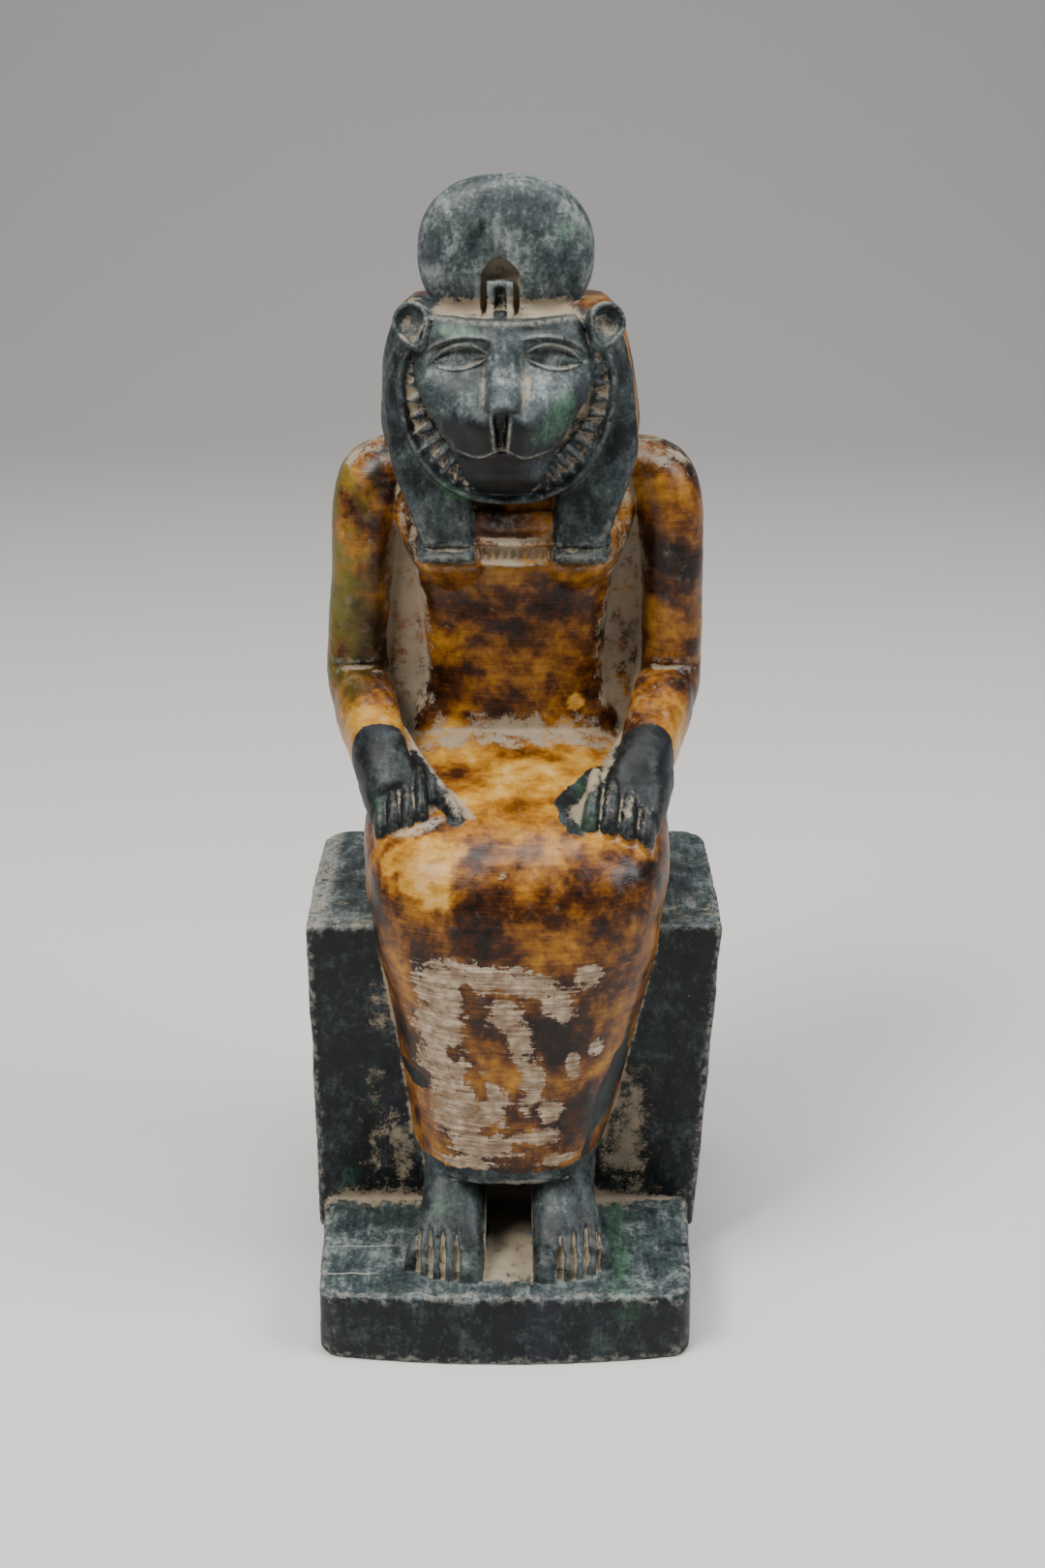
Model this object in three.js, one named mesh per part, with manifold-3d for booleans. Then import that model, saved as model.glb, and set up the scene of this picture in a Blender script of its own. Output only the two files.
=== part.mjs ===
// Seated lioness goddess with a sun disc, carved in one piece with her seat and plinth.
// Millimetres. x runs to the viewer's right, y to the back, z up from the underside.
import * as THREE from "three";
import { ParametricGeometry } from "three/addons/geometries/ParametricGeometry.js";
import { mergeVertices } from "three/addons/utils/BufferGeometryUtils.js";
import Module from "manifold-3d";

const wasm = await Module();
wasm.setup();

// Main sizes
const TOTAL_HEIGHT = 300;
const SEAT_HEIGHT = 104;
const PLINTH_HEIGHT = 18.8;
const SEAT_WIDTH = 114.5;
const SEAT_DEPTH = 73;
const STEP_DEPTH = 49;
const PLINTH_WIDTH = 107.6;
const PLINTH_FRONT_WIDTH = 99.5;
const BACK_CORNER = 11;
const FRONT_CORNER = 6;
const WORN_EDGE = 1.4;
const SEAT_LEAN = 2.3;
const PLINTH_BULGE = 3.6;

// The figure is drawn at these sizes and then set to the main sizes
const DRAWN_HEIGHT = 300;
const DRAWN_SEAT = 104;
const DRAWN_PLINTH = 18.8;
const DRAWN_STEP = 49;
const DRAWN_FRONT = -12;

const seatFront = (STEP_DEPTH + SEAT_DEPTH) / 2 - SEAT_DEPTH;
const figureScale = (TOTAL_HEIGHT - SEAT_HEIGHT) / (DRAWN_HEIGHT - DRAWN_SEAT);
const legScale = (SEAT_HEIGHT - PLINTH_HEIGHT) / (DRAWN_SEAT - DRAWN_PLINTH);
const stepScale = STEP_DEPTH / DRAWN_STEP;

// Takes a drawn point of the figure to its place on the seat and plinth.
function settle(p) {
  const depth = p.y - DRAWN_FRONT;
  const rise = p.z - DRAWN_SEAT;
  p.x *= figureScale;
  p.y = seatFront + depth * (depth < 0 ? stepScale : figureScale);
  p.z = SEAT_HEIGHT + rise * (rise < 0 ? legScale : figureScale);
  return p;
}

// The closed solid of a geometry, with doubled vertices joined and its faces turned outwards.
function solid(geometry) {
  const bare = geometry.clone();
  bare.deleteAttribute("normal");
  bare.deleteAttribute("uv");
  const merged = mergeVertices(bare, 1e-3);
  const vertProperties = merged.attributes.position.array;
  const triVerts = new Uint32Array(merged.index.array);
  const made = new wasm.Manifold(new wasm.Mesh({ numProp: 3, vertProperties, triVerts }));
  if (made.volume() > 0) return made;
  return new wasm.Manifold(new wasm.Mesh({ numProp: 3, vertProperties, triVerts: triVerts.reverse() }));
}

const unite = (solids) => solids.reduce((whole, next) => whole.add(next));

// A row of numbers at t from a table whose rows each start with their own t, joined smoothly.
function blend(rows, t) {
  const last = rows.length - 1;
  let i = 0;
  while (i < last - 1 && t > rows[i + 1][0]) i += 1;
  const [a, b] = [rows[i], rows[i + 1]];
  const before = rows[Math.max(i - 1, 0)];
  const after = rows[Math.min(i + 2, last)];
  const span = b[0] - a[0];
  const s = (t - a[0]) / span;
  return a.map((value, k) => {
    const slopeA = (b[k] - before[k]) / (b[0] - before[0]);
    const slopeB = (after[k] - a[k]) / (after[0] - a[0]);
    const rise = s * s * (3 - 2 * s);
    const bend = span * s * (1 - s) * ((1 - s) * slopeA - s * slopeB);
    return value + (b[k] - value) * rise + bend;
  });
}

// A closed skin: ring(u, t) gives the point at u round the section at t, and each end is closed
// on the middle of its own section.
function skin(ring, around, along, fit = settle) {
  const rows = along + 2;
  const place = (u, v, target) => {
    const row = Math.round(v * rows * 1e3) / 1e3;
    const t = THREE.MathUtils.clamp((row - 1) / along, 0, 1);
    const turn = u >= 1 ? 0 : u;
    if (row > 0.5 && row < rows - 0.5) {
      target.copy(ring(turn, t));
    } else {
      target.set(0, 0, 0);
      for (let k = 0; k < 4; k += 1) target.addScaledVector(ring(k / 4, t), 0.25);
    }
    fit(target);
  };
  return solid(new ParametricGeometry(place, around, rows));
}

// Cosine and sine of a turn, squared off by the exponent n: 2 is an ellipse, more is boxier.
function squared(turn, n) {
  const angle = turn * 2 * Math.PI;
  const c = Math.cos(angle);
  const s = Math.sin(angle);
  return [Math.sign(c) * Math.abs(c) ** (2 / n), Math.sign(s) * Math.abs(s) ** (2 / n)];
}

// A form cut level by level. Rows: z, middle x, half width, front y, back y, squareness.
function upright(rows, around, along) {
  const [low, high] = [rows[0][0], rows[rows.length - 1][0]];
  const ring = (u, t) => {
    const [z, x, half, front, back, n] = blend(rows, low + (high - low) * t);
    const [c, s] = squared(u, n);
    return new THREE.Vector3(x + half * c, (front + back) / 2 + ((back - front) / 2) * s, z);
  };
  return skin(ring, around, along);
}

// A form cut from back to front. Rows: y from back to front, middle x, half width, bottom z,
// top z, squareness.
function reaching(rows, around, along) {
  const [from, to] = [rows[0][0], rows[rows.length - 1][0]];
  const backward = rows.map(([y, ...rest]) => [-y, ...rest]);
  const ring = (u, t) => {
    const [y, x, half, bottom, top, n] = blend(backward, -from + (from - to) * t);
    const [c, s] = squared(u, n);
    return new THREE.Vector3(x + half * c, -y, (bottom + top) / 2 + ((top - bottom) / 2) * s);
  };
  return skin(ring, around, along);
}

// A rounded bead of the given width and height along a drawn curve.
function bead(points, width, depth, steps, sides = 6) {
  const path = new THREE.CatmullRomCurve3(points.map((p) => new THREE.Vector3(...p)));
  const ring = (u, t) => {
    const centre = path.getPointAt(t);
    const along = path.getTangentAt(t);
    const out = new THREE.Vector3(0, -1, 0);
    out.addScaledVector(along, -out.dot(along)).normalize();
    const across = new THREE.Vector3().crossVectors(out, along);
    const angle = -u * 2 * Math.PI;
    centre.addScaledVector(across, (width / 2) * Math.cos(angle));
    return centre.addScaledVector(out, (depth / 2) * Math.sin(angle));
  };
  return skin(ring, sides, steps);
}

// Mirrored pairs stand either side of a middle line that leans a little to the right.
const SIDES = [-1, 1];
const sided = (rows, side, middle) =>
  rows.map(([first, x, ...rest]) => [first, middle + side * x, ...rest]);

// Seat and plinth
function outline(backHalf, frontHalf, front, back, frontCorner, backCorner, bow) {
  const shape = new THREE.Shape();
  const near = -front;
  const far = -back;
  const side = (backHalf + frontHalf) / 2 + 0.8;
  shape.moveTo(-frontHalf + frontCorner, near);
  shape.quadraticCurveTo(-frontHalf, near, -frontHalf, near - frontCorner);
  shape.quadraticCurveTo(-side, (near + far) / 2, -backHalf, far + backCorner);
  shape.quadraticCurveTo(-backHalf, far, -backHalf + backCorner, far);
  shape.lineTo(backHalf - backCorner, far);
  shape.quadraticCurveTo(backHalf, far, backHalf, far + backCorner);
  shape.quadraticCurveTo(side, (near + far) / 2, frontHalf, near - frontCorner);
  shape.quadraticCurveTo(frontHalf, near, frontHalf - frontCorner, near);
  shape.quadraticCurveTo(0, near + bow, -frontHalf + frontCorner, near);
  return shape;
}

// A slab on an outline, with worn edges above and below. Its middle moves and its width changes
// by the given amounts from the top down to the foot, where its front swells out by the bulge.
function slab(shape, bottom, height, lean, narrowing, bulge) {
  const points = shape.getPoints(4).slice(0, -1);
  const levels = [[0, 1], [WORN_EDGE, 0], [height - WORN_EDGE, 0], [height - WORN_EDGE / 3, 0.3], [height, 1]];
  const ring = (u, t) => {
    const [rise, worn] = levels[Math.round(t * (levels.length - 1))];
    const point = points[Math.round(u * points.length) % points.length];
    const inset = 1 - (WORN_EDGE * worn) / point.length();
    const width = 1 - narrowing * (1 - rise / height);
    const x = point.x * inset * width + (lean * rise) / height;
    const swell = point.y > 0 ? bulge * (1 - rise / height) * (1 - (2 * x / PLINTH_WIDTH) ** 2) : 0;
    return new THREE.Vector3(x, -point.y * inset - swell, bottom + rise);
  };
  return skin(ring, points.length, levels.length - 1, (p) => p);
}

function seat() {
  const half = SEAT_WIDTH / 2;
  const back = seatFront + SEAT_DEPTH;
  const shape = outline(half, half, seatFront, back, WORN_EDGE, BACK_CORNER, 0);
  const below = PLINTH_HEIGHT / 2;
  return slab(shape, below, SEAT_HEIGHT - below, SEAT_LEAN, 1 - PLINTH_WIDTH / SEAT_WIDTH, 0);
}

function plinth() {
  const back = seatFront + SEAT_DEPTH;
  const shape = outline(
    PLINTH_WIDTH / 2, PLINTH_FRONT_WIDTH / 2, seatFront - STEP_DEPTH, back, FRONT_CORNER, BACK_CORNER, 3,
  );
  return slab(shape, 0, PLINTH_HEIGHT, 0, 0, PLINTH_BULGE);
}

// Dress: the thighs, knees and shins under one smooth skirt.
// Rows: place, outer y, outer z, inner y, inner z, half width, middle x, squareness, widest share.
const SKIRT = [
  [0, 48, 150, 48, 98, 41, 2.8, 3.2, 0.5],
  [1, 24, 148.5, 24, 98, 42, 3.2, 3.2, 0.5],
  [2, 4, 144.5, 4, 98, 41.8, 3.5, 3.2, 0.5],
  [3, -13, 140.6, -8, 98, 40.4, 3.8, 3.1, 0.5],
  [4, -26, 136.6, -9, 98, 39, 4.1, 3, 0.45],
  [5, -35.4, 131, -8, 98, 38, 4.3, 2.9, 0.38],
  [6, -40.8, 122, -7, 97, 37.4, 4.4, 2.8, 0.3],
  [7, -42.6, 110, -6, 96, 37, 4.4, 2.7, 0.2],
  [8, -43, 98, -5, 93, 36.2, 4.3, 2.6, 0.1],
  [9, -42.6, 85, -5, 84, 34.2, 4, 2.5, 0.04],
  [10, -42.2, 72, -5, 71.5, 31.8, 3.5, 2.5, 0.02],
  [11, -41.6, 59, -5, 59, 29.6, 2.6, 2.5, 0.02],
  [12, -41, 48, -5, 48, 27.6, 1.6, 2.5, 0.02],
  [13, -39.6, 41.6, -5, 41, 26, 0.9, 2.5, 0.02],
];

function skirt() {
  const last = SKIRT.length - 1;
  const ring = (u, t) => {
    const [, y, z, innerY, innerZ, half, x, n, widest] = blend(SKIRT, last * t);
    const [c, s] = squared(u, n);
    const share = s > 0 ? widest + (1 - widest) * s : widest * (1 + s);
    return new THREE.Vector3(x - half * c, innerY + (y - innerY) * share, innerZ + (z - innerZ) * share);
  };
  return skin(ring, 26, 16);
}

// Height of the lap under a drawn point, from the same rows as the skirt.
function lap(x, y) {
  let i = 0;
  while (i < 5 && SKIRT[i + 1][1] > y) i += 1;
  const share = (SKIRT[i][1] - y) / (SKIRT[i][1] - SKIRT[i + 1][1]);
  const [, , z, , innerZ, half, middle, n, widest] = blend(SKIRT, i + share);
  const across = Math.min(Math.abs(x - middle) / half, 0.88);
  const centre = innerZ + (z - innerZ) * widest;
  return centre + (z - centre) * (1 - across ** n) ** (1 / n);
}

// Body
function torso() {
  return upright([
    [118, 2.6, 37, 22, 56, 2.8],
    [140, 2.6, 36, 23, 58, 2.8],
    [150, 2.6, 31, 23.5, 57, 2.6],
    [158, 2.6, 26.6, 23.5, 55.5, 2.5],
    [168, 2.5, 25.4, 22.8, 54.5, 2.5],
    [180, 2.5, 26, 20.5, 54, 2.5],
    [191, 2.5, 27.6, 17.6, 54.5, 2.5],
    [201, 2.4, 31, 15.8, 55, 2.6],
    [210, 2.2, 34, 16.8, 55.2, 2.7],
    [218, 2, 34, 19.5, 54.5, 2.6],
    [226, 1.8, 29, 23, 52.5, 2.4],
    [233, 1.5, 23, 27, 50, 2.2],
  ], 20, 9);
}

// The stone left between the arms and the body.
function web() {
  return upright([
    [140, 2.2, 38, 33, 50, 4],
    [160, 2.2, 40, 36.5, 51, 4],
    [190, 2.2, 42, 36.5, 51, 4],
    [212, 2.2, 42, 31, 52, 4],
    [220, 2.2, 38, 29, 52, 3.2],
    [228, 2.2, 30, 31, 50, 3],
  ], 12, 6);
}

const ARM_MIDDLE = 2.1;

function upperArm(side) {
  return upright(sided([
    [139, 45, 4.6, 30, 44, 2],
    [144, 45, 7.4, 27, 47.5, 2.2],
    [152, 44.9, 8.7, 24.5, 49.5, 2.3],
    [163, 44.8, 9, 24.5, 50, 2.4],
    [172, 44.7, 8.6, 26, 50, 2.4],
    [188, 44.5, 8.7, 25.5, 50.5, 2.4],
    [203, 43.6, 9.3, 24.5, 51.5, 2.4],
    [213, 41.8, 10.6, 24.5, 52, 2.4],
    [220.5, 39.4, 11.2, 25.5, 51.5, 2.3],
    [225.6, 36.2, 10.6, 28, 49.5, 2.2],
    [228.6, 33, 8, 32, 46, 2],
  ], side, ARM_MIDDLE), 12, 9);
}

function forearm(side) {
  return reaching(sided([
    [47, 44.6, 5, 148, 160, 2],
    [43, 44.7, 8, 144, 163.5, 2.2],
    [34, 44.2, 8.8, 143.5, 166, 2.3],
    [24, 42, 8.7, 144, 166.2, 2.3],
    [12, 38.8, 8.1, 141, 161.5, 2.3],
    [2, 36.2, 7.7, 139, 157.6, 2.3],
    [-3, 34.9, 7.6, 138, 155.6, 2.4],
    [-6, 34, 7, 138, 153.6, 2.4],
  ], side, ARM_MIDDLE), 12, 7);
}

// Hands lie flat on the lap
const FINGER_COUNT = 4;
const HAND_MIDDLE = 2.6;

function palm(side) {
  const row = (y, x, half, thick, n) => {
    const ground = lap(HAND_MIDDLE + side * x, y);
    return [y, x, half, ground - 6, ground + thick, n];
  };
  return reaching(sided([
    row(8, 37, 6.6, 12, 2.3),
    row(2, 35.4, 8.2, 11.4, 2.5),
    row(-4, 33.2, 9.6, 10.2, 2.7),
    row(-10, 31, 10.4, 8.4, 2.8),
    row(-15, 29.6, 10, 6.2, 2.8),
  ], side, HAND_MIDDLE), 12, 4);
}

function finger(side, index) {
  const order = index / (FINGER_COUNT - 1);
  const root = 22.4 + 15.4 * order;
  const tip = 20 + 15.2 * order;
  const reach = -25 + 1.6 * Math.abs(order - 0.4);
  const row = (share, half, thick) => {
    const y = -8 + (reach + 8) * share;
    const x = root + (tip - root) * share;
    const ground = lap(HAND_MIDDLE + side * x, y);
    return [y, x, half, ground - 5, ground + thick, 2.2];
  };
  return reaching(
    sided([row(0, 2.4, 8.8), row(0.4, 2.6, 7.8), row(0.75, 2.5, 6), row(0.93, 2.3, 4.2), row(1, 1.5, 1.6)],
      side, HAND_MIDDLE), 7, 4);
}

function thumb(side) {
  const row = (y, x, half, thick) => {
    const ground = lap(HAND_MIDDLE + side * x, y);
    return [y, x, half, ground - 5, ground + thick, 2.1];
  };
  return reaching(
    sided([row(7, 30.4, 2.4, 9), row(0, 26.4, 2.7, 7.6), row(-7, 22.2, 2.7, 5.4), row(-12.4, 19.2, 2.3, 4),
      row(-14.6, 18.2, 1.5, 1.5)], side, HAND_MIDDLE), 7, 4);
}

const hand = (side) =>
  unite([palm(side), thumb(side), ...Array.from({ length: FINGER_COUNT }, (_, i) => finger(side, i))]);

// Feet come out from under the hem
const TOE_COUNT = 5;
const FEET_MIDDLE = 0.8;

function toe(side, index) {
  const big = index === 0;
  const x = big ? 9.1 : 10.5 + 3.85 * index;
  const half = big ? 3.3 : 2.1;
  const reach = -56.6 + 0.35 * index + 0.26 * index * index;
  const top = big ? 27 : 26.4 - 0.3 * index;
  const floor = DRAWN_PLINTH - 3;
  return reaching(sided([
    [-43, x - 0.6, half, floor, top + 2.6, 2.4],
    [-48, x - 0.2, half, floor, top + 0.6, 2.4],
    [reach + 2.4, x, half, floor, top - 0.6, 2.3],
    [reach + 0.7, x, half * 0.92, floor, top - 2, 2.2],
    [reach, x, half * 0.6, floor, top - 4.4, 2],
  ], side, FEET_MIDDLE), 7, 4);
}

function foot(side) {
  const floor = DRAWN_PLINTH - 3;
  const body = reaching(sided([
    [-8, 15, 8.8, floor, 47, 2.4],
    [-26, 15, 8.8, floor, 45, 2.4],
    [-33, 15, 8.9, floor, 41, 2.5],
    [-40, 15.4, 9.4, floor, 35, 2.6],
    [-46, 16.4, 10, floor, 30, 2.8],
    [-50, 16.8, 10.3, floor, 26, 2.8],
  ], side, FEET_MIDDLE), 12, 6);
  return unite([body, ...Array.from({ length: TOE_COUNT }, (_, i) => toe(side, i))]);
}

// Head cloth, falling behind the shoulders and to two flaps on the chest
function headCloth() {
  return upright([
    [205, 1.6, 22, 30, 58, 3],
    [212, 1.6, 27, 26, 60, 3],
    [220, 1.5, 31.5, 21, 61, 2.9],
    [228, 1.4, 34.4, 17.5, 61, 2.8],
    [234, 1.3, 35.4, 16, 61, 2.8],
    [243, 1, 34.7, 15, 60.5, 2.8],
    [252, 0.6, 33.6, 15, 59, 2.8],
    [260, 0.6, 31.4, 16.5, 56, 2.8],
    [265, 0.8, 29, 18, 53, 2.8],
    [268, 0.9, 26, 20, 50, 2.6],
  ], 20, 9);
}

const flapInner = 10.9;

function flap(side) {
  const row = (z, outer, front, n) => [z, (flapInner + outer) / 2, (outer - flapInner) / 2, front, 34, n];
  return upright(sided([
    row(199.6, 24.4, 13.6, 6),
    row(204, 25.1, 12.4, 6),
    row(212, 27.8, 12.2, 5),
    row(220, 31, 12.6, 4.6),
    row(228, 33.4, 13.8, 4),
    row(236, 34, 15.4, 4),
  ], side, 2.2), 10, 5);
}

// The rolled hem across the foot of each flap.
function flapHem(side) {
  const x = (share) => 2.2 + side * (flapInner + (24.8 - flapInner) * share);
  return bead([[x(0.04), 12.9, 201.4], [x(0.5), 12.3, 201.2], [x(0.98), 13.4, 201.4]], 3.2, 3.4, 4);
}

// Broad collar showing between the flaps
function collar() {
  const bands = [[209.5, 16, 3.4], [204.6, 15.2, 1.8], [199.2, 15.2, 2]];
  return unite(bands.map(([z, y, height]) =>
    bead([[-9.5, y + 0.8, z + 0.3], [2.2, y, z - 0.2], [13.9, y + 0.8, z + 0.3]], height, 3.2, 4, 5)));
}

// Mane: a raised rim round the face with pointed tufts inside it
const MANE = { x: 0.6, z: 247.5, half: 28, drop: 30.4, rise: 20, y: 14.6 };

function maneAt(angle, inset) {
  const half = MANE.half - inset;
  const [c, s] = [Math.cos(angle), Math.sin(angle)];
  const z = MANE.z + s * ((s < 0 ? MANE.drop : MANE.rise) - inset);
  return [MANE.x + half * Math.sign(c) * Math.abs(c) ** 0.82, MANE.y + 1.2 * s, z];
}

function maneRim() {
  const points = [];
  const steps = 18;
  for (let i = 0; i <= steps; i += 1) {
    points.push(maneAt(THREE.MathUtils.degToRad(-206 + (232 * i) / steps), 0));
  }
  return bead(points, 2.6, 4.4, 26, 5);
}

function maneTuft(angle) {
  const [x, y, z] = maneAt(angle, 1.2);
  const [ix, , iz] = maneAt(angle, 7.4);
  const out = new THREE.Vector3(x - ix, 0, z - iz);
  const across = new THREE.Vector3(-out.z, 0, out.x).normalize();
  const cone = new THREE.ConeGeometry(3, out.length(), 4, 1);
  const stand = new THREE.Matrix4().makeBasis(across, out.clone().normalize(), new THREE.Vector3(0, 1, 0));
  cone.scale(1, 1, 0.9);
  cone.applyMatrix4(stand);
  cone.translate((x + ix) / 2, y + 0.6, (z + iz) / 2);
  const position = cone.attributes.position;
  const p = new THREE.Vector3();
  for (let i = 0; i < position.count; i += 1) {
    settle(p.fromBufferAttribute(position, i));
    position.setXYZ(i, p.x, p.y, p.z);
  }
  return solid(cone);
}

// Face: a lioness, drawn as a relief whose depth depends on x and z.
const FACE = { x: -0.2, low: 218.5, high: 265.5, back: 30 };
const FACE_HALF = [
  [218.5, 5.5], [221, 8.4], [224, 10.6], [228, 12.2], [232, 14.2], [237, 17], [242, 20.2], [247, 22.6],
  [252, 23.7], [257, 23.3], [261, 21.5], [265.5, 18.5],
];

const bump = (d, width, power = 2) => Math.exp(-((Math.abs(d) / width) ** power));

function faceDepth(x, z) {
  const round = Math.max(0, 1 - (x / 25.5) ** 2 - ((z - 245) / 30) ** 2);
  const skull = 15.5 - 10.5 * Math.sqrt(round);
  const spread = 10.6 + 0.32 * Math.max(0, z - 230);
  const muzzle = 11 * bump(x, spread, 3) * bump(z - 235, 12.5, 3.6);
  const lips = 1.6 * bump(Math.abs(x) - 6, 5) * bump(z - 234, 6);
  const jaw = 3.4 * bump(x, 9, 3) * bump(z - 223.4, 3.8, 3);
  const bridge = 4.4 * bump(x, 4.8, 3) * bump(z - 249, 9, 2.6);
  const nose = 2 * bump(x, 5, 3) * bump(z - 243, 3.4, 2.6);
  const brow = 1.8 * bump(z - (260.4 - 0.018 * (Math.abs(x) - 11) ** 2), 2.4) * bump(Math.abs(x) - 11, 9, 4);
  const socket = 1.9 * bump(Math.abs(x) - 11.5, 6.2, 3) * bump(z - 254, 3.8, 2.4);
  return skull - muzzle - lips - jaw - bridge - nose - brow + socket;
}

function face() {
  const front = 0.86;
  const ring = (u, t) => {
    const z = FACE.low + (FACE.high - FACE.low) * t;
    const half = blend(FACE_HALF, z)[1];
    if (u > front) {
      const share = (u - front) / (1 - front);
      return new THREE.Vector3(FACE.x + half * (1 - 2 * share), FACE.back, z);
    }
    const x = -half * Math.cos((Math.PI * u) / front);
    return new THREE.Vector3(FACE.x + x, Math.min(faceDepth(x, z), 20), z);
  };
  return skin(ring, 25, 20);
}

// An almond eye, a low dome in its socket.
function eye(side) {
  const [x, z] = [FACE.x + 0.7 + side * 12, 253.6];
  const ring = (u, t) => {
    const size = Math.cos((Math.PI / 2) * t * 0.96) ** 0.6;
    const [c, s] = squared(u, 1.7);
    const y = 10.4 - 3 * Math.sin((Math.PI / 2) * t);
    return new THREE.Vector3(x + 6.2 * size * c, y, z + 2.7 * size * s);
  };
  return skin(ring, 10, 3);
}

// Round cupped ear at the corner of the brow.
function ear(side) {
  const points = [[0, 0], [5.2, 0], [5.9, 3.4], [5.3, 5.4], [4.2, 5.6], [3.3, 3.6], [0, 2.8]];
  const cup = new THREE.LatheGeometry(points.map(([r, y]) => new THREE.Vector2(r, y)), 12);
  cup.scale(1, 1, 1.06);
  cup.rotateX(Math.PI - 0.3);
  cup.rotateZ(side * 0.3);
  cup.translate(1.1 + side * 23.4, 17.6, 260.6);
  const position = cup.attributes.position;
  const p = new THREE.Vector3();
  for (let i = 0; i < position.count; i += 1) {
    settle(p.fromBufferAttribute(position, i));
    position.setXYZ(i, p.x, p.y, p.z);
  }
  return solid(cup);
}

// Sun disc with an arched niche and the stump of a cobra in it
const DISC = { half: 24, middle: 279, rise: 21, front: 17.5, back: 40 };

function disc() {
  const rings = [
    [0, 0.22], [0.02, 0.62], [0.14, 0.88], [0.34, 0.98], [0.5, 1], [0.68, 0.98], [0.86, 0.86], [1, 0.5],
  ];
  const ring = (u, t) => {
    const [, size] = blend(rings, t);
    const [c, s] = squared(u, 2.5);
    const y = DISC.back + (DISC.front - DISC.back) * t;
    return new THREE.Vector3(DISC.half * size * c, y, DISC.middle + DISC.rise * size * s);
  };
  return skin(ring, 24, 7);
}

function niche() {
  return upright([
    [266, -1.2, 5, 8, 21.4, 6],
    [273, -1.2, 5, 8, 21.4, 6],
    [276.5, -1.2, 4.6, 8, 21.4, 6],
    [279, -1.2, 2.4, 8, 21.4, 4],
  ], 16, 5);
}

function cobraStump() {
  return upright([
    [264, -1.2, 2.7, 18.4, 26, 6],
    [271.6, -1.2, 2.7, 18.4, 26, 6],
    [272.6, -1.2, 2.2, 19, 26, 4],
  ], 12, 3);
}

function head() {
  const tufts = [];
  for (let degrees = -194; degrees <= 14; degrees += 9.45) {
    tufts.push(maneTuft(THREE.MathUtils.degToRad(degrees)));
  }
  const crown = disc().subtract(niche()).add(cobraStump());
  const features = SIDES.flatMap((side) => [eye(side), ear(side), flap(side), flapHem(side)]);
  return unite([headCloth(), face(), maneRim(), crown, ...tufts, ...features]);
}

function statue() {
  const limbs = SIDES.flatMap((side) => [upperArm(side), forearm(side), hand(side), foot(side)]);
  const whole = unite([seat(), plinth(), skirt(), torso(), web(), collar(), head(), ...limbs]);
  const { min, max } = whole.boundingBox();
  return whole.translate([-(min[0] + max[0]) / 2, -(min[1] + max[1]) / 2, -min[2]]);
}

// The mesh of a solid in a plain glazed stone colour.
function meshOf(name, made, colour) {
  const { vertProperties, triVerts } = made.getMesh();
  const geometry = new THREE.BufferGeometry();
  geometry.setAttribute("position", new THREE.BufferAttribute(vertProperties, 3));
  geometry.setIndex(new THREE.BufferAttribute(triVerts, 1));
  geometry.computeVertexNormals();
  const material = new THREE.MeshStandardMaterial({ color: colour, roughness: 0.45, metalness: 0 });
  const mesh = new THREE.Mesh(geometry, material);
  mesh.name = name;
  return mesh;
}

const group = new THREE.Group();
group.add(meshOf("statue", statue(), 0x5a4326));

export default group;
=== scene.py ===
"""Seated lioness goddess with a sun disc: fine carving, paint, varnish, worn patches and dust.

All forms are drawn in millimetres in the same way as the solid, then moved to its frame.
"""
import math

import bmesh
import bpy
import numpy as np
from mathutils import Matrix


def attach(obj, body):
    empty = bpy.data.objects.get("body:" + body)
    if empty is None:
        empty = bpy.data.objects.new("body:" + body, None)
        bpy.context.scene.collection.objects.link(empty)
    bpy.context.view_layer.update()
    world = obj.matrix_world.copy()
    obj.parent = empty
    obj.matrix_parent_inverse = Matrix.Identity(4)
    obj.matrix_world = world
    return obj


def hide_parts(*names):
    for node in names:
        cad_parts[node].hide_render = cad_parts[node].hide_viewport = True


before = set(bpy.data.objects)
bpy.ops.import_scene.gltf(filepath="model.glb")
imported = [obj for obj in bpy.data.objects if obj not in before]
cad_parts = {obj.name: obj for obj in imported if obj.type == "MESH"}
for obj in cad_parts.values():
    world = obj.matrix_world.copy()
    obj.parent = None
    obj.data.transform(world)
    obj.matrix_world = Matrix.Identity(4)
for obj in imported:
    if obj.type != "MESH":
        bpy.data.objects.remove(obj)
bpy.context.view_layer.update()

MM = 0.001
# The solid is centred on its own box, which moves every drawn point by this much.
CENTRING = np.array([-2.266, 2.416, 0.0])
PLINTH_TOP = 18.8
SEAT_TOP = 104.0
SEAT_FRONT = -12.0
SEAT_BACK = 61.0
# Half the width of the seat's top, and of its foot as a share of that
SEAT_HALF = 57.25
SEAT_FOOT = 107.6 / 114.5
# The seat's top lies this much further to the right than its foot.
SEAT_LEAN = 2.3
# The plinth: half width in front and at the back, and depth of its front
PLINTH_HALF, PLINTH_BACK_HALF = 49.75, 53.8
PLINTH_FRONT = -61
HEM = 39.4
# The painted top of the head and all of the disc lie above this height.
CROWN = 268.2


# Surfaces

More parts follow.
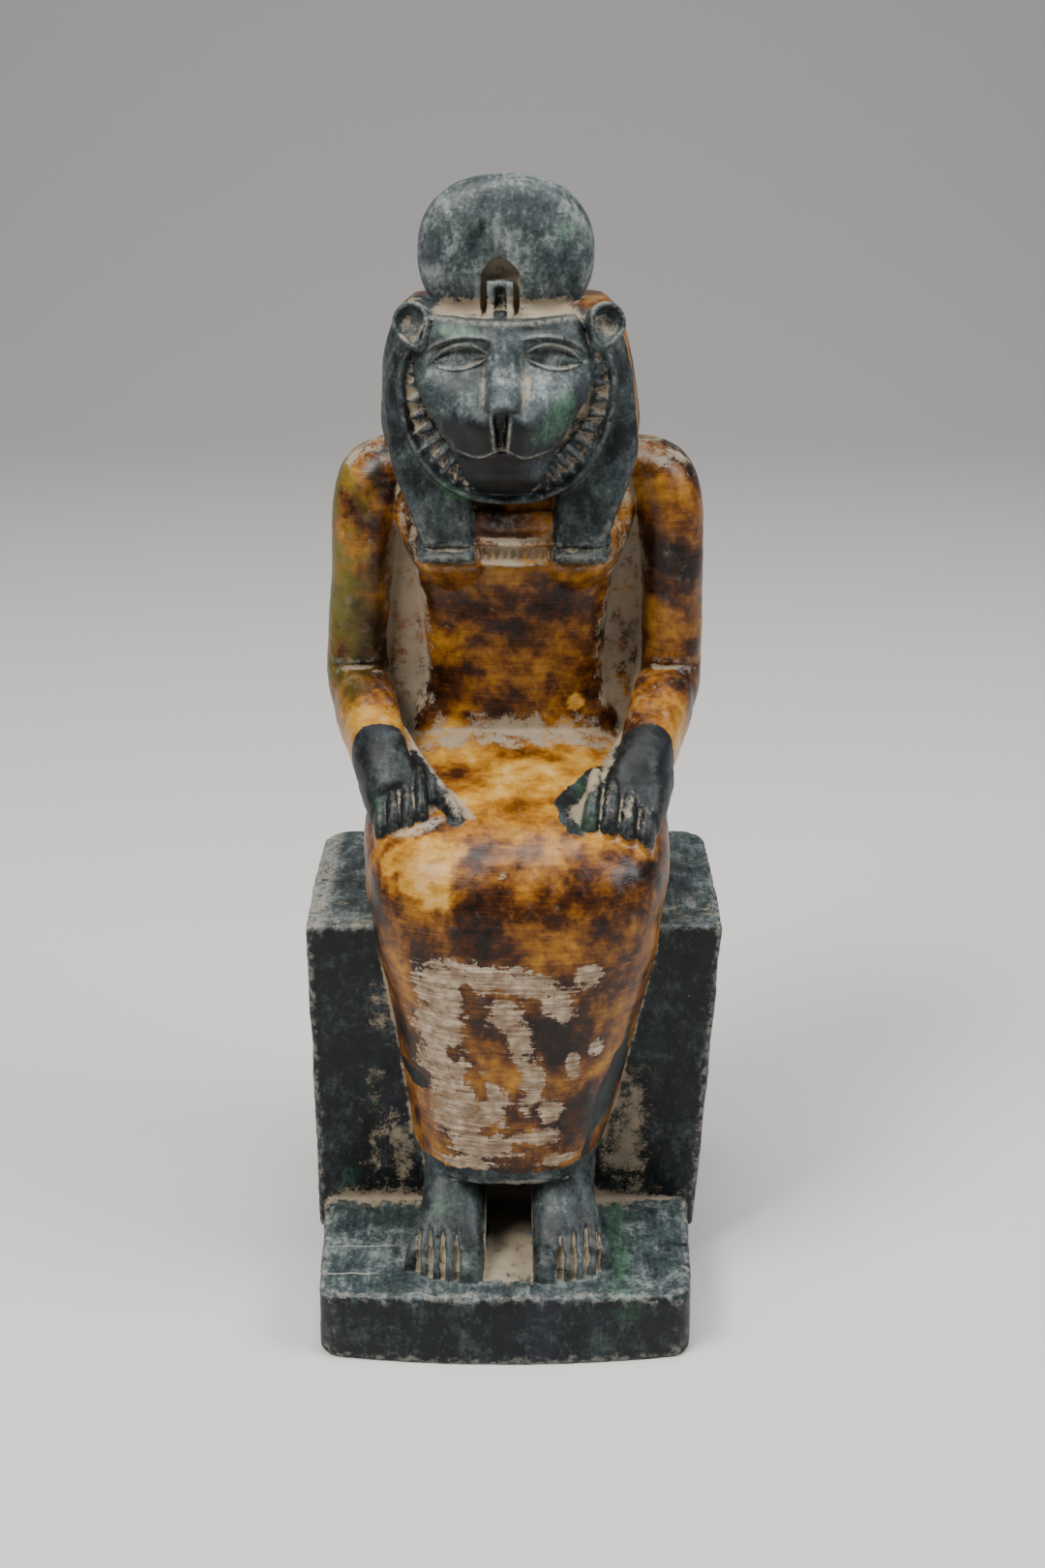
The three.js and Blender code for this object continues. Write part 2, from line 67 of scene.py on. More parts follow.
def blend(rows, t):
    """Rows of a table at places t: cubic Hermite curves whose slope at each row is the slope
    from the row before it to the row after it. The first column is the place."""
    rows = np.asarray(rows, float)
    t = np.atleast_1d(np.asarray(t, float))
    last = len(rows) - 1
    i = np.clip(np.searchsorted(rows[:, 0], t) - 1, 0, last - 1)
    a, b = rows[i], rows[i + 1]
    before, after = rows[np.maximum(i - 1, 0)], rows[np.minimum(i + 2, last)]
    span = b[:, :1] - a[:, :1]
    s = (t[:, None] - a[:, :1]) / span
    slope_a = (b - before) / (b[:, :1] - before[:, :1])
    slope_b = (after - a) / (after[:, :1] - a[:, :1])
    bend = span * s * (1 - s) * ((1 - s) * slope_a - s * slope_b)
    return a + (b - a) * s * s * (3 - 2 * s) + bend


def closed(grid):
    """Triangles of a closed skin from a grid of rings: quads between neighbouring rings, and a
    fan from the middle of the first and of the last ring. The faces are turned outwards by the
    sign of the enclosed volume."""
    rings, around = grid.shape[:2]
    points = np.concatenate([grid.reshape(-1, 3), grid[:1].mean(1), grid[-1:].mean(1)])
    i, j = np.meshgrid(np.arange(rings - 1), np.arange(around), indexing="ij")
    a = (i * around + j).ravel()
    b = (i * around + (j + 1) % around).ravel()
    sides = np.concatenate([np.stack([a, b, a + around], 1), np.stack([b, b + around, a + around], 1)])
    k = np.arange(around)
    following = (k + 1) % around
    first, last = rings * around, rings * around + 1
    top = (rings - 1) * around
    ends = np.concatenate([
        np.stack([following, k, np.full(around, first)], 1),
        np.stack([top + k, top + following, np.full(around, last)], 1),
    ])
    faces = np.concatenate([sides, ends])
    p = points[faces]
    if np.einsum("ij,ij->i", p[:, 0], np.cross(p[:, 1], p[:, 2])).sum() < 0:
        faces = faces[:, ::-1]
    return points, faces


def squared(turn, n):
    """Cosine and sine of a turn, each to the power 2 / n: n = 2 is an ellipse, more is boxier."""
    angle = turn * 2 * np.pi
    c, s = np.cos(angle), np.sin(angle)
    return np.sign(c) * np.abs(c) ** (2 / n), np.sign(s) * np.abs(s) ** (2 / n)


def rings_of(rows, around, along):
    """Turns round the section and table rows along the form, as arrays that broadcast."""
    places = np.linspace(rows[0][0], rows[-1][0], along + 1)
    table = blend(rows, places).T[:, :, None]
    return np.arange(around)[None, :] / around, table


def upright(rows, around=72, along=80):
    """A form cut level by level. Rows: z, middle x, half width, front y, back y, squareness."""
    turn, (z, x, half, front, back, n) = rings_of(rows, around, along)
    c, s = squared(turn, n)
    y = (front + back) / 2 + (back - front) / 2 * s
    return closed(np.stack(np.broadcast_arrays(x + half * c, y, z), -1))


def reaching(rows, around=48, along=48):
    """A form cut from back to front. Rows: y, middle x, half width, bottom z, top z, squareness."""
    backward = [[-row[0], *row[1:]] for row in rows]
    turn, (y, x, half, bottom, top, n) = rings_of(backward, around, along)
    c, s = squared(turn, n)
    z = (bottom + top) / 2 + (top - bottom) / 2 * s
    return closed(np.stack(np.broadcast_arrays(x + half * c, -y, z), -1))


def bead(points, width, depth, along=120, around=16):
    """A rounded bead: an ellipse of the given width and depth carried along a smooth curve
    through the points, standing out towards the front."""
    points = np.asarray(points, float)
    place = np.concatenate([[0], np.cumsum(np.linalg.norm(np.diff(points, axis=0), axis=1))])
    curve = blend(np.column_stack([place, points]), np.linspace(0, place[-1], along))[:, 1:]
    run = np.gradient(curve, axis=0)
    run /= np.linalg.norm(run, axis=1)[:, None]
    out = np.array([0.0, -1.0, 0.0]) - run * (-run[:, 1:2])
    out /= np.linalg.norm(out, axis=1)[:, None]
    across = np.cross(out, run)
    angle = np.linspace(0, 2 * np.pi, around, endpoint=False)[None, :, None]
    ring = across[:, None] * np.cos(angle) * width / 2 + out[:, None] * np.sin(angle) * depth / 2
    return closed(curve[:, None] + ring)


def sided(rows, side, middle):
    """Rows of a mirrored form at one side of its middle line."""
    return [[row[0], middle + side * row[1], *row[2:]] for row in rows]


# Seat and plinth

def rounded_plan(front_half, back_half, front, back, front_corner, back_corner, bow, count=480):
    """Points round the plan: a superellipse-cornered outline made of straight runs and quarter
    turns, with sides that swell a little and a front that bows out."""
    def quarter(cx, cy, r, start):
        a = np.radians(np.linspace(start, start + 90, 14))
        return np.column_stack([cx + r * np.cos(a), cy + r * np.sin(a)])
    corners = [
        quarter(back_half - back_corner, back - back_corner, back_corner, 0),
        quarter(-back_half + back_corner, back - back_corner, back_corner, 90),
        quarter(-front_half + front_corner, front + front_corner, front_corner, 180),
        quarter(front_half - front_corner, front + front_corner, front_corner, 270),
    ]
    loop = np.concatenate(corners + [corners[0][:1]])
    place = np.concatenate([[0], np.cumsum(np.linalg.norm(np.diff(loop, axis=0), axis=1))])
    even = np.linspace(0, place[-1], count, endpoint=False)
    x, y = np.interp(even, place, loop[:, 0]), np.interp(even, place, loop[:, 1])
    along = np.clip((y - front) / (back - front), 0, 1)
    x = x * (1 + 0.008 * np.sin(np.pi * along))
    y = y - bow * (1 - along) ** 6 * (1 - (x / front_half) ** 2)
    return x, y


def drawn_in(ring, shares):
    """Copies of a level ring, each drawn in towards the ring's middle to one share of its size."""
    middle = ring.mean(1, keepdims=True) * [1, 1, 0]
    return [ring * [share, share, 1] + (1 - share) * middle for share in shares]


def block(plan, low, high, edge, lean, narrowing, bulge):
    """A slab on a plan. Its top and bottom edges are rounded by a quarter turn, its middle moves by
    lean and its width changes by narrowing from top to foot, and its front swells at the foot."""
    x, y = plan
    turn = np.radians(np.linspace(0, 90, 8))
    inset = np.concatenate([[1.0], 1 - np.sin(turn), np.zeros(70), 1 - np.cos(turn[1:]), [1.0]]) * edge
    tall = high - low
    rise = np.concatenate([[0.0], edge * (1 - np.cos(turn)), np.linspace(edge, tall - edge, 72)[1:-1],
                           tall - edge + edge * np.sin(turn[1:]), [tall]])[:, None]
    far = np.hypot(x, y)[None]
    keep = 1 - inset[:, None] / far
    share = rise / tall
    px = x * keep * (1 - narrowing * (1 - share)) + lean * share
    py = y * keep - np.where(y < 0, bulge * (1 - share) * (1 - (px / 54) ** 2), 0)
    rings = np.stack(np.broadcast_arrays(px, py, low + rise), -1)
    underside = drawn_in(rings[:1], (0.25, 0.5, 0.75))
    top = drawn_in(rings[-1:], (0.75, 0.5, 0.25))
    return closed(np.concatenate(underside + [rings] + top))


# Dress

# Rows from the seat over the lap and the shins to the hem: number, depth y and height z of the
# outer profile, depth and height of the inner line, half width, middle x, squareness, and how
# much of the way out the section is widest
SKIRT = [
    [0, 48, 150, 48, 98, 41, 2.8, 3.2, 0.5],
    [1, 24, 148.5, 24, 98, 42, 3.1, 3.2, 0.5],
    [2, 4, 144.5, 4, 98, 42.2, 3.1, 3.2, 0.5],
    [3, -13, 140.6, -8, 98, 41.3, 3, 3.1, 0.5],
    [4, -26, 136.6, -9, 98, 40.1, 3.1, 3, 0.45],
    [5, -35.4, 131, -8, 98, 39.2, 3.2, 2.9, 0.38],
    [6, -40.8, 122, -7, 97, 38.5, 3.3, 2.8, 0.3],
    [7, -42.6, 110, -6, 96, 38.1, 3.3, 2.7, 0.2],
    [8, -43, 98, -5, 93, 37.3, 3.3, 2.6, 0.1],
    [9, -42.6, 85, -5, 84, 35.3, 3.1, 2.5, 0.04],
    [10, -42.2, 72, -5, 71.5, 32.8, 2.7, 2.5, 0.02],
    [11, -41.6, 59, -5, 59, 30.5, 2, 2.5, 0.02],
    [12, -41.2, 48, -5, 48, 28.2, 1.2, 2.5, 0.02],
    [13, -40.6, HEM + 1.4, -5, 41, 26.9, 0.4, 2.5, 0.02],
    [14, -39.2, HEM, -5, HEM, 26, 0.3, 2.5, 0.02],
]


def skirt():
    """Thighs, knees and shins in one: each row spans from an inner line in the seat to the outer
    profile, and the section between them is a squared half ring of the row's half width."""
    turn, (_, y, z, inner_y, inner_z, half, x, n, widest) = rings_of(SKIRT, 160, 170)
    c, s = squared(turn, n)
    share = np.where(s > 0, widest + (1 - widest) * s, widest * (1 + s))
    y = inner_y + (y - inner_y) * share
    z = inner_z + (z - inner_z) * share
    return closed(np.stack([x - half * c, y, z], -1))


def lap(x, y):
    """Height of the lap under a point, from the same rows as the skirt."""
    table = np.array(SKIRT[:6])[::-1]
    rows = blend(table[:, [1, 2, 4, 5, 6, 7, 8]], y)
    _, z, inner_z, half, middle, n, widest = rows.T
    across = np.minimum(np.abs(x - middle) / half, 0.88)
    centre = inner_z + (z - inner_z) * widest
    return centre + (z - centre) * (1 - across ** n) ** (1 / n)


# Body

TORSO = [
    [118, 2.6, 37, 22, 56, 2.8], [140, 2.6, 36, 23, 58, 2.8], [150, 2.6, 31, 23.5, 57, 2.6],
    [158, 2.6, 26.6, 23.5, 55.5, 2.5], [168, 2.5, 25.4, 22.8, 54.5, 2.5], [180, 2.5, 26, 20.5, 54, 2.5],
    [191, 2.5, 27.6, 17.6, 54.5, 2.5], [201, 2.4, 31, 15.8, 55, 2.6], [210, 2.2, 34, 16.8, 55.2, 2.7],
    [218, 2, 34, 19.5, 54.5, 2.6], [226, 1.8, 29, 23, 52.5, 2.4], [233, 1.5, 23, 27, 50, 2.2],
]
WEB = [
    [140, 2.2, 38, 31, 50, 4], [160, 2.2, 40, 33, 51, 4], [190, 2.2, 42, 33, 51, 4],
    [212, 2.2, 42, 29.5, 52, 4], [220, 2.2, 38, 28.5, 52, 3.2], [228, 2.2, 30, 31, 50, 3],
]
ARM_MIDDLE = 2.1
UPPER_ARM = [
    [141, 42.5, 3.6, 30, 42, 2], [145, 43, 5.8, 27.5, 46, 2.2], [152, 43.8, 7.6, 25, 49, 2.3],
    [160, 44.5, 8.7, 24.5, 50, 2.4], [172, 44.7, 8.6, 26, 50, 2.4], [188, 44.5, 8.7, 25.5, 50.5, 2.4],
    [203, 43.6, 9.3, 24.5, 51.5, 2.4], [213, 41.8, 10.4, 24.5, 52, 2.4], [220.5, 39.2, 11, 25.5, 51.5, 2.3],
    [225.4, 36, 10.4, 28, 49.5, 2.2], [228.4, 33, 8, 32, 46, 2],
]
FOREARM = [
    [47, 43.4, 4.4, 150, 160, 2], [43, 43.6, 6.8, 147, 163.5, 2.3], [34, 42.9, 8.3, 145.5, 165.8, 2.6],
    [24, 41.4, 8.6, 144.5, 165.8, 2.8], [12, 38.6, 8.1, 141, 161.5, 2.6], [2, 36.2, 7.6, 139, 157.2, 2.4],
    [-3, 34.9, 7.5, 138, 154.8, 2.4], [-8, 33, 7, 138, 151.6, 2.4], [-13, 31.6, 5.6, 137, 146.5, 2.2],
]
# The left upper arm leans in towards the shoulder by this much.
LEFT_LEAN = 2.2


def upper_arm(side):
    rows = sided(UPPER_ARM, side, ARM_MIDDLE)
    if side < 0:
        for row in rows:
            row[1] += LEFT_LEAN * float(step(row[0], 162, 198))
    return upright(rows, 72, 90)


def breast(side):
    """A low rounded swelling beside the collar, under the end of a flap of the head cloth."""
    return upright([
        [189, 2.4 + side * 15, 3, 21, 30, 2], [192.5, 2.4 + side * 15.4, 8.4, 18, 32, 2.1],
        [197, 2.4 + side * 16, 11.6, 14.4, 34, 2.2], [202, 2.4 + side * 16.6, 12.4, 13.4, 34, 2.2],
        [208, 2.4 + side * 17, 11.4, 14.6, 34, 2.2], [214, 2.4 + side * 17, 7, 18.4, 30, 2],
    ], 56, 50)


# Hands

HAND_MIDDLE = 2.6
# The left hand lies further back than the right one.
LEFT_BACK = 4.6


def on_lap(side, y, x, half, under, thick, n):
    """A row of a form that lies on the lap: its bottom is below the lap and its top above it."""
    y = y + (LEFT_BACK * (0.5 - y / 50) if side < 0 else 0)
    ground = float(lap(HAND_MIDDLE + side * x, y)[0])
    return [y, x, half, ground - under, ground + thick, n]


def palm(side):
    rows = [[8, 37, 6.6, 11, 2.3], [2, 35.4, 8, 11.4, 2.5], [-4, 33.2, 9.2, 11, 2.7],
            [-10, 31, 10.2, 9.4, 3], [-14, 29.8, 10.2, 7.8, 3], [-18, 29, 9.6, 4.6, 2.8]]
    return reaching(sided([on_lap(side, y, x, half, 6, thick, n) for y, x, half, thick, n in rows],
                          side, HAND_MIDDLE), 64, 60)


# A finger from its root to its tip: share of its length, half width, rise above the lap
FINGER = [(0, 2.2, 8), (0.35, 2.35, 8.3), (0.55, 2.3, 7.6), (0.75, 2.25, 6.6), (0.93, 2.05, 4.6),
          (1, 1.3, 2)]


def finger(side, index):
    """One of four fingers: a tapering rod from the palm to a rounded tip on the lap. Those of the
    left hand lie closer together."""
    order = index / 3
    root, tip, thick = (21.8 + 15.2 * order, 19.6 + 14.6 * order, 1.0)
    if side < 0:
        root, tip, thick = (26 + 11 * order, 24.6 + 11 * order, 0.84)
    reach = -25.6 + 1.6 * abs(order - 0.4)
    rows = []
    for share, half, rise in FINGER:
        y = -8 + (reach + 8) * share
        rows.append(on_lap(side, y, root + (tip - root) * share, half * thick, 5, rise, 2.4))
    return reaching(sided(rows, side, HAND_MIDDLE), 32, 36)


# The thumb lies along the hand's inner side: depth y, place out from the middle, half width, rise
THUMB = [
    [24, 34.5, 2.2, 11], [14, 31.6, 2.6, 10.4], [5, 28.4, 2.8, 9], [-5, 24, 2.8, 7.2],
    [-14, 18.8, 2.5, 4.6], [-19, 16, 2, 3], [-21.4, 15, 1.2, 0.8],
]
# The tip of the right thumb lies further out, against the fingers.
RIGHT_THUMB_OUT = 3.0


def thumb(side):
    rows = []
    for y, x, half, thick in THUMB:
        x += RIGHT_THUMB_OUT * float(step(-y, -5, 14)) * (side > 0)
        ground = float(lap(HAND_MIDDLE + side * x, y)[0])
        rows.append([y, x, half, ground - 5, ground + thick, 2.1])
    return reaching(sided(rows, side, HAND_MIDDLE), 32, 60)


# Feet

FEET_MIDDLE = 0.8


def toe_place(index):
    """Middle x of a toe, its half width and how far forward it reaches."""
    big = index == 0
    middle = 10.4 if big else 12.6 + 3.4 * index
    half = 3.4 if big else 1.85
    return middle, half, -56.2 + 0.3 * index + 0.3 * index * index


def toe(side, index):
    """One of five toes: a boxy rod on the plinth that drops at its tip."""
    x, half, reach = toe_place(index)
    top = 26.6 - 0.35 * index
    floor = PLINTH_TOP - 3
    return reaching(sided([
        [-43, x - 0.6, half, floor, top + 1, 3], [-48, x - 0.2, half, floor, top + 0.3, 3],
        [reach + 3.2, x, half, floor, top - 0.8, 2.8], [reach + 0.9, x, half * 0.94, floor, top - 2.6, 2.5],
        [reach, x, half * 0.6, floor, top - 5, 2],
    ], side, FEET_MIDDLE), 32, 36)


def toe_grooves(p):
    """Cut between neighbouring toes, from 0 to 1: narrow straight slots from the foot's back to
    the toes' tips."""
    x, y, z = p.T
    out = np.abs(x - FEET_MIDDLE)
    slots = []
    for i in range(4):
        inner, inner_half, _ = toe_place(i)
        outer, outer_half, _ = toe_place(i + 1)
        between = (inner + inner_half + outer - outer_half) / 2
        slots.append(bump(out - between, 0.55, 3) * step(-y, 46 - i, 50.5 - i))
    on_toes = (z > PLINTH_TOP + 0.6) & (z < 36) & (out < 30) & (y < -38)
    return np.maximum.reduce(slots) * on_toes


def instep(side):
    floor = PLINTH_TOP - 3
    return reaching(sided([
        [-8, 15, 8.8, floor, 47, 2.4], [-26, 15, 8.8, floor, 45, 2.4], [-33, 15, 8.9, floor, 41, 2.5],
        [-40, 15.7, 9.4, floor, 35, 2.6], [-46, 16.6, 10.1, floor, 30.2, 2.8],
        [-50, 17.2, 10.3, floor, 26.4, 2.8],
    ], side, FEET_MIDDLE), 64, 60)


# Head cloth and collar

HEAD_CLOTH = [
    [205, 1.6, 22, 30, 58, 3], [212, 1.6, 27, 26, 60, 3], [220, 1.5, 31.5, 21, 61, 2.9],
    [228, 1.4, 34.4, 17.5, 61, 2.8], [234, 1.3, 35.4, 16, 61, 2.8], [243, 1, 34.7, 15, 60.5, 2.8],
    [252, 0.6, 33.6, 15, 59, 2.8], [260, 0.6, 31.4, 16.5, 56, 2.8], [265, 0.8, 29, 18, 53, 2.8],
    [268, 0.9, 26, 20, 50, 2.6],
]
# The flaps lie evenly about this line, each from its inner edge outwards.
FLAP_MIDDLE = 2.2
FLAP_INNER = 10.9
# Beside the face both flaps lie this much further to the left than at their feet.
UPPER_FLAPS_LEFT = 0.9


# A flap from its foot up beside the face: height, outer edge, front y, squareness
FLAP = [
    (199.6, 24.4, 13.6, 6), (204, 25.1, 12.4, 6), (212, 27.8, 12.2, 5), (220, 31, 12.6, 4.6),
    (228, 33.4, 13.4, 4), (236, 33.8, 14.4, 3.8), (246, 33.2, 15, 3.6), (256, 31.2, 16, 3.4),
    (264, 28, 18.4, 3),
]


def flap(side):
    rows = []
    for z, outer, front, n in FLAP:
        middle = (FLAP_INNER + outer) / 2 - side * UPPER_FLAPS_LEFT * float(step(z, 226, 246))
        rows.append([z, middle, (outer - FLAP_INNER) / 2, front, 34, n])
    return upright(sided(rows, side, FLAP_MIDDLE), 72, 90)


def flap_hem(side):
    """The rolled hem across the foot of a flap."""
    x = [FLAP_MIDDLE + side * (FLAP_INNER + (25 - FLAP_INNER) * share) for share in (0.03, 0.5, 0.99)]
    return bead([[x[0], 12.5, 201], [x[1], 11.8, 201.3], [x[2], 13, 200.6]], 2.7, 3.8, 60)


def collar():
    """Three low bands across the chest between the flaps."""
    bands = ((210, 16.2, 6), (204.4, 14.9, 1.7), (198.8, 15.3, 1.5))
    return [bead([[-9.5, y + 0.8, z + 0.3], [2.2, y, z - 0.2], [13.9, y + 0.8, z + 0.3]], height, 3.2, 60)
            for z, y, height in bands]


# Mane

# Middle of the mane's outline, its half width, and its height below and above the middle
MANE_X, MANE_Z = 0.6, 247.5
MANE_HALF, MANE_DROP, MANE_RISE = 28, 30.4, 20
# The tufts, in degrees round the mane: the first, the limit, and from one to the next
TUFTS = (-199, 20, 9.1)


def mane_line(angle, inset):
    """A point of the mane's outline: half an ellipse under the chin that runs on up beside the
    cheeks, moved inwards by the inset."""
    half, drop, rise = MANE_HALF - inset, MANE_DROP - inset, MANE_RISE - inset
    c, s = np.cos(angle), np.sin(angle)
    z = MANE_Z + s * np.where(s < 0, drop, rise)
    return np.stack([MANE_X + half * np.sign(c) * np.abs(c) ** 0.82, 13.7 + 1.5 * s, z], -1)


def mane_ring(x, z):
    """Place in the mane's outline: about 1 on the rim and less inside."""
    return np.hypot((x - MANE_X) / MANE_HALF, (z - MANE_Z) / np.where(z < MANE_Z, MANE_DROP, MANE_RISE))


def mane_rim():
    return bead(mane_line(np.radians(np.linspace(-206, 26, 30)), 0), 2.3, 4.4, 320)


def mane_bed():
    """The flat ground behind the tufts, up to the rim."""
    ring = mane_line(np.radians(np.linspace(-180, 180, 160, endpoint=False)), 0.6)
    return closed(np.stack([ring - [0, 0.3, 0], ring + [0, 14, 0]]))


def tuft(angle):
    """A pointed tuft: a four-sided pyramid from the cheek out to the rim."""
    outer = mane_line(angle, 1.4)
    inner = mane_line(angle, 4.9 + 3 * float(step(-math.sin(angle), 0.1, 0.7)))
    out = (outer - inner) * [1, 0, 1]
    across = np.array([-out[2], 0, out[0]]) / np.linalg.norm(out)
    share = np.linspace(0, 1, 16)[:, None, None]
    turn = np.linspace(0, 1, 24, endpoint=False)[None, :, None]
    c, s = squared(turn, 1.05)
    size = 1 - 0.74 * share
    ring = across * c * size * 2.15 + np.array([0, -1.0, 0]) * s * (size * 1.3 + 0.95)
    middle = inner * [1, 0, 1] + np.array([0, outer[1], 0]) + out * share
    return closed(middle + ring)


# Face

# Middle of the face, and its lowest and highest row
FACE_X = -0.2
FACE_LOW, FACE_HIGH = 218.5, 265.5
# Half width of the face's outline: height, half width
FACE_HALF = [
    [218.5, 5.5], [221, 8.4], [224, 10.6], [228, 12.2], [232, 14.2], [237, 17], [242, 20.2], [247, 22.6],
    [252, 23.7], [257, 23.3], [261, 21.5], [265.5, 18.5],
]


def bump(d, width, power=2.0):
    """A smooth hump: exp(-(d / width) ** power)."""
    return np.exp(-((np.abs(d) / width) ** power))


def face_half(z):
    """Half width of the face's outline at a height, in straight runs from row to row."""
    return np.interp(z, *np.array(FACE_HALF).T)


def face_depth(x, z):
    """Depth y of the face at x and z: a rounded skull less the muzzle, lips, jaw, nose and brow,
    plus the eye sockets. Each is a hump of its own width and height."""
    rounded = np.maximum(0, 1 - (x / 25.5) ** 2 - ((z - 245) / 30) ** 2)
    skull = 15.5 - 10.5 * np.sqrt(rounded)
    spread = 10.6 + 0.32 * np.maximum(0, z - 230)
    muzzle = 11 * bump(x, spread, 3) * bump(z - 235, 12.5, 3.6)
    under = 2.6 * step(243 - z, 0, 12) * bump(x, 14, 4)
    lips = 1.9 * bump(np.abs(x + 0.5) - 5.6, 4.6) * bump(z - 236, 6.5)
    jaw = 3.4 * bump(x, 9, 3) * bump(z - 223.4, 3.8, 3)
    bridge = 4 * bump(x + 0.2, 4, 5) * step(z, 240, 246) * (1 - 0.9 * step(z, 249, 266))
    nose = 2.3 * bump(x + 0.5, 4.9, 5) * bump(z - 246.6, 3, 4)
    arch = 260.4 - 0.018 * (np.abs(x) - 11) ** 2
    brow = 1.3 * bump(z - arch, 2.4) * bump(np.abs(x) - 11, 9, 4)
    socket = 2.1 * bump(np.abs(x - 0.7) - 12, 7.4, 3) * bump(z - 254.9, 4.6, 2.4)
    return skull - muzzle + under - lips - jaw - bridge - nose - brow + socket


def eye_line(x, z):
    """Signed place in the almond eye: under 1 inside, 1 on its edge. Each eye is 12 mm from
    the middle and droops at its outer corner."""
    across = (np.abs(x - 0.7) - 12) / 7.2
    level = z - 254.8 + 1.05 * across
    height = np.where(level > 0, 3.1, 2.05) * np.maximum(1 - across ** 2, 0.0001) ** 0.7
    return np.where(np.abs(across) < 1, np.abs(level) / np.maximum(height, 0.35), 9.0)


def mouth_line(x):
    """Height of the mouth: two shallow bows that meet under the nose."""
    out = np.abs(x + 0.6)
    return 233.5 - 3 * np.sin(np.minimum(out / 7.5, 1) * np.pi / 2) ** 1.3 + 0.12 * np.maximum(out - 7.5, 0)


def slot_half(z):
    """Half width of the slot under the nose, which widens upwards."""
    return 1.0 + 0.09 * np.maximum(z - 234, 0)


def brow_arch(x):
    """Height of the line over each brow."""
    return 261 - 0.03 * (np.abs(x - 0.6) - 9) ** 2


def brow_reach(x):
    """1 along the brow lines, 0 between them and beyond their ends."""
    return bump(np.abs(x - 0.6) - 12.5, 8, 10)


def face_carving(x, z):
    """Fine relief, in mm towards the back, that is cut after the forms are joined: the slot under
    the nose, the mouth, the lids and eyeballs, the brow lines and the grooves beside the nose."""
    half = slot_half(z)
    slot = 2.3 * bump(x + 0.7, half, 6) * bump(z - 238.4, 5.4, 10)
    slot_rim = -0.45 * bump(np.abs(x + 0.7) - half - 0.7, 0.5) * bump(z - 237.4, 5, 8)
    open_mouth = 1.5 * bump(z - mouth_line(x) + 0.7, 0.6) * bump(x + 0.4, 11.8, 10)
    lip_rim = -0.5 * bump(z - mouth_line(x) - 0.3, 0.55) * bump(x + 0.4, 11.8, 10)
    under = 1.5 * step(mouth_line(x) - 0.6 - z, 0, 1.2) * bump(z - 228.5, 4.2, 4) * bump(x, 10.5, 6)
    wing = 1.1 * bump(np.abs(x + 0.5) - 5.6, 0.8) * bump(z - 245.6, 2.8, 4)
    below_nose = 0.9 * bump(np.abs(x + 0.6) - 3.4, 1.3) * bump(z - 243.2, 0.8)
    place = eye_line(x, z)
    lid = -0.85 * bump(place - 1.16, 0.2)
    ball = np.where(place < 1, 1.0 - 1.15 * np.clip(1 - place, 0, 1) ** 0.6, 0)
    arch = brow_arch(x)
    brow_line = brow_reach(x) * (-0.5 * bump(z - arch, 0.5) + 0.6 * bump(z - arch + 1.1, 0.5))
    fold = 0.95 * bump(np.abs(x + 0.2) - 4.9, 0.55) * bump(z - 249.6, 6.4, 6)
    lower = slot + slot_rim + open_mouth + lip_rim + under + wing + below_nose
    return lower + lid + ball + brow_line + fold


def face():
    """The face as a closed relief: the front follows face_depth and the back is a flat plane
    inside the head."""
    z = np.linspace(FACE_LOW, FACE_HIGH, 150)[:, None]
    half = blend(FACE_HALF, z[:, 0])[:, 1:]
    x = -half * np.cos(np.linspace(0, np.pi, 150))[None]
    front = np.stack([FACE_X + x, np.minimum(face_depth(x, z), 20), np.broadcast_to(z, x.shape)], -1)
    back_x = half * np.linspace(1, -1, 24)[None, 1:-1]
    back = np.stack([FACE_X + back_x, np.full_like(back_x, 30), np.broadcast_to(z, back_x.shape)], -1)
    return closed(np.concatenate([front, back], 1))


def ear(side):
    """A cup: a profile turned about its axis, drawn out to a blunt point towards the brow, and
    tipped up and outwards at the corner of the head."""
    profile = np.array([[0.05, 0], [4.4, 0], [5, 1.8], [5.2, 3.6], [5, 5.2], [4.5, 5.8], [3.9, 5.5],
                        [3.4, 4], [2.2, 3.3], [0.05, 3.1]])
    place = np.linspace(0, len(profile) - 1, 60)
    r, y = blend(np.column_stack([np.arange(len(profile)), profile]), place)[:, 1:].T
    angle = np.linspace(0, 2 * np.pi, 72, endpoint=False)[None]
    point = math.radians(-90 - side * 26)
    apart = (angle - point + np.pi) % (2 * np.pi) - np.pi
    r = r[:, None] * (1 + 0.5 * bump(apart, 0.55))
    cup = np.stack([r * np.cos(angle), np.broadcast_to(-y[:, None], r.shape), 1.06 * r * np.sin(angle)], -1)
    up, out = 0.3, side * 0.3
    turn_x = np.array([[1, 0, 0], [0, math.cos(up), math.sin(up)], [0, -math.sin(up), math.cos(up)]])
    turn_z = np.array([[math.cos(out), -math.sin(out), 0], [math.sin(out), math.cos(out), 0], [0, 0, 1]])
    return closed(cup @ turn_x.T @ turn_z.T + [1.1 + side * 24.2, 17.4, 262.3])


# Sun disc

# Middle of the niche in the disc, and of the stump in it
NICHE_X = -1.2
# The disc: half width, middle height, half height, depth of its front and of its back
DISC = {"half": 23.4, "middle": 279.0, "rise": 20.7, "front": 17.5, "back": 40.0}


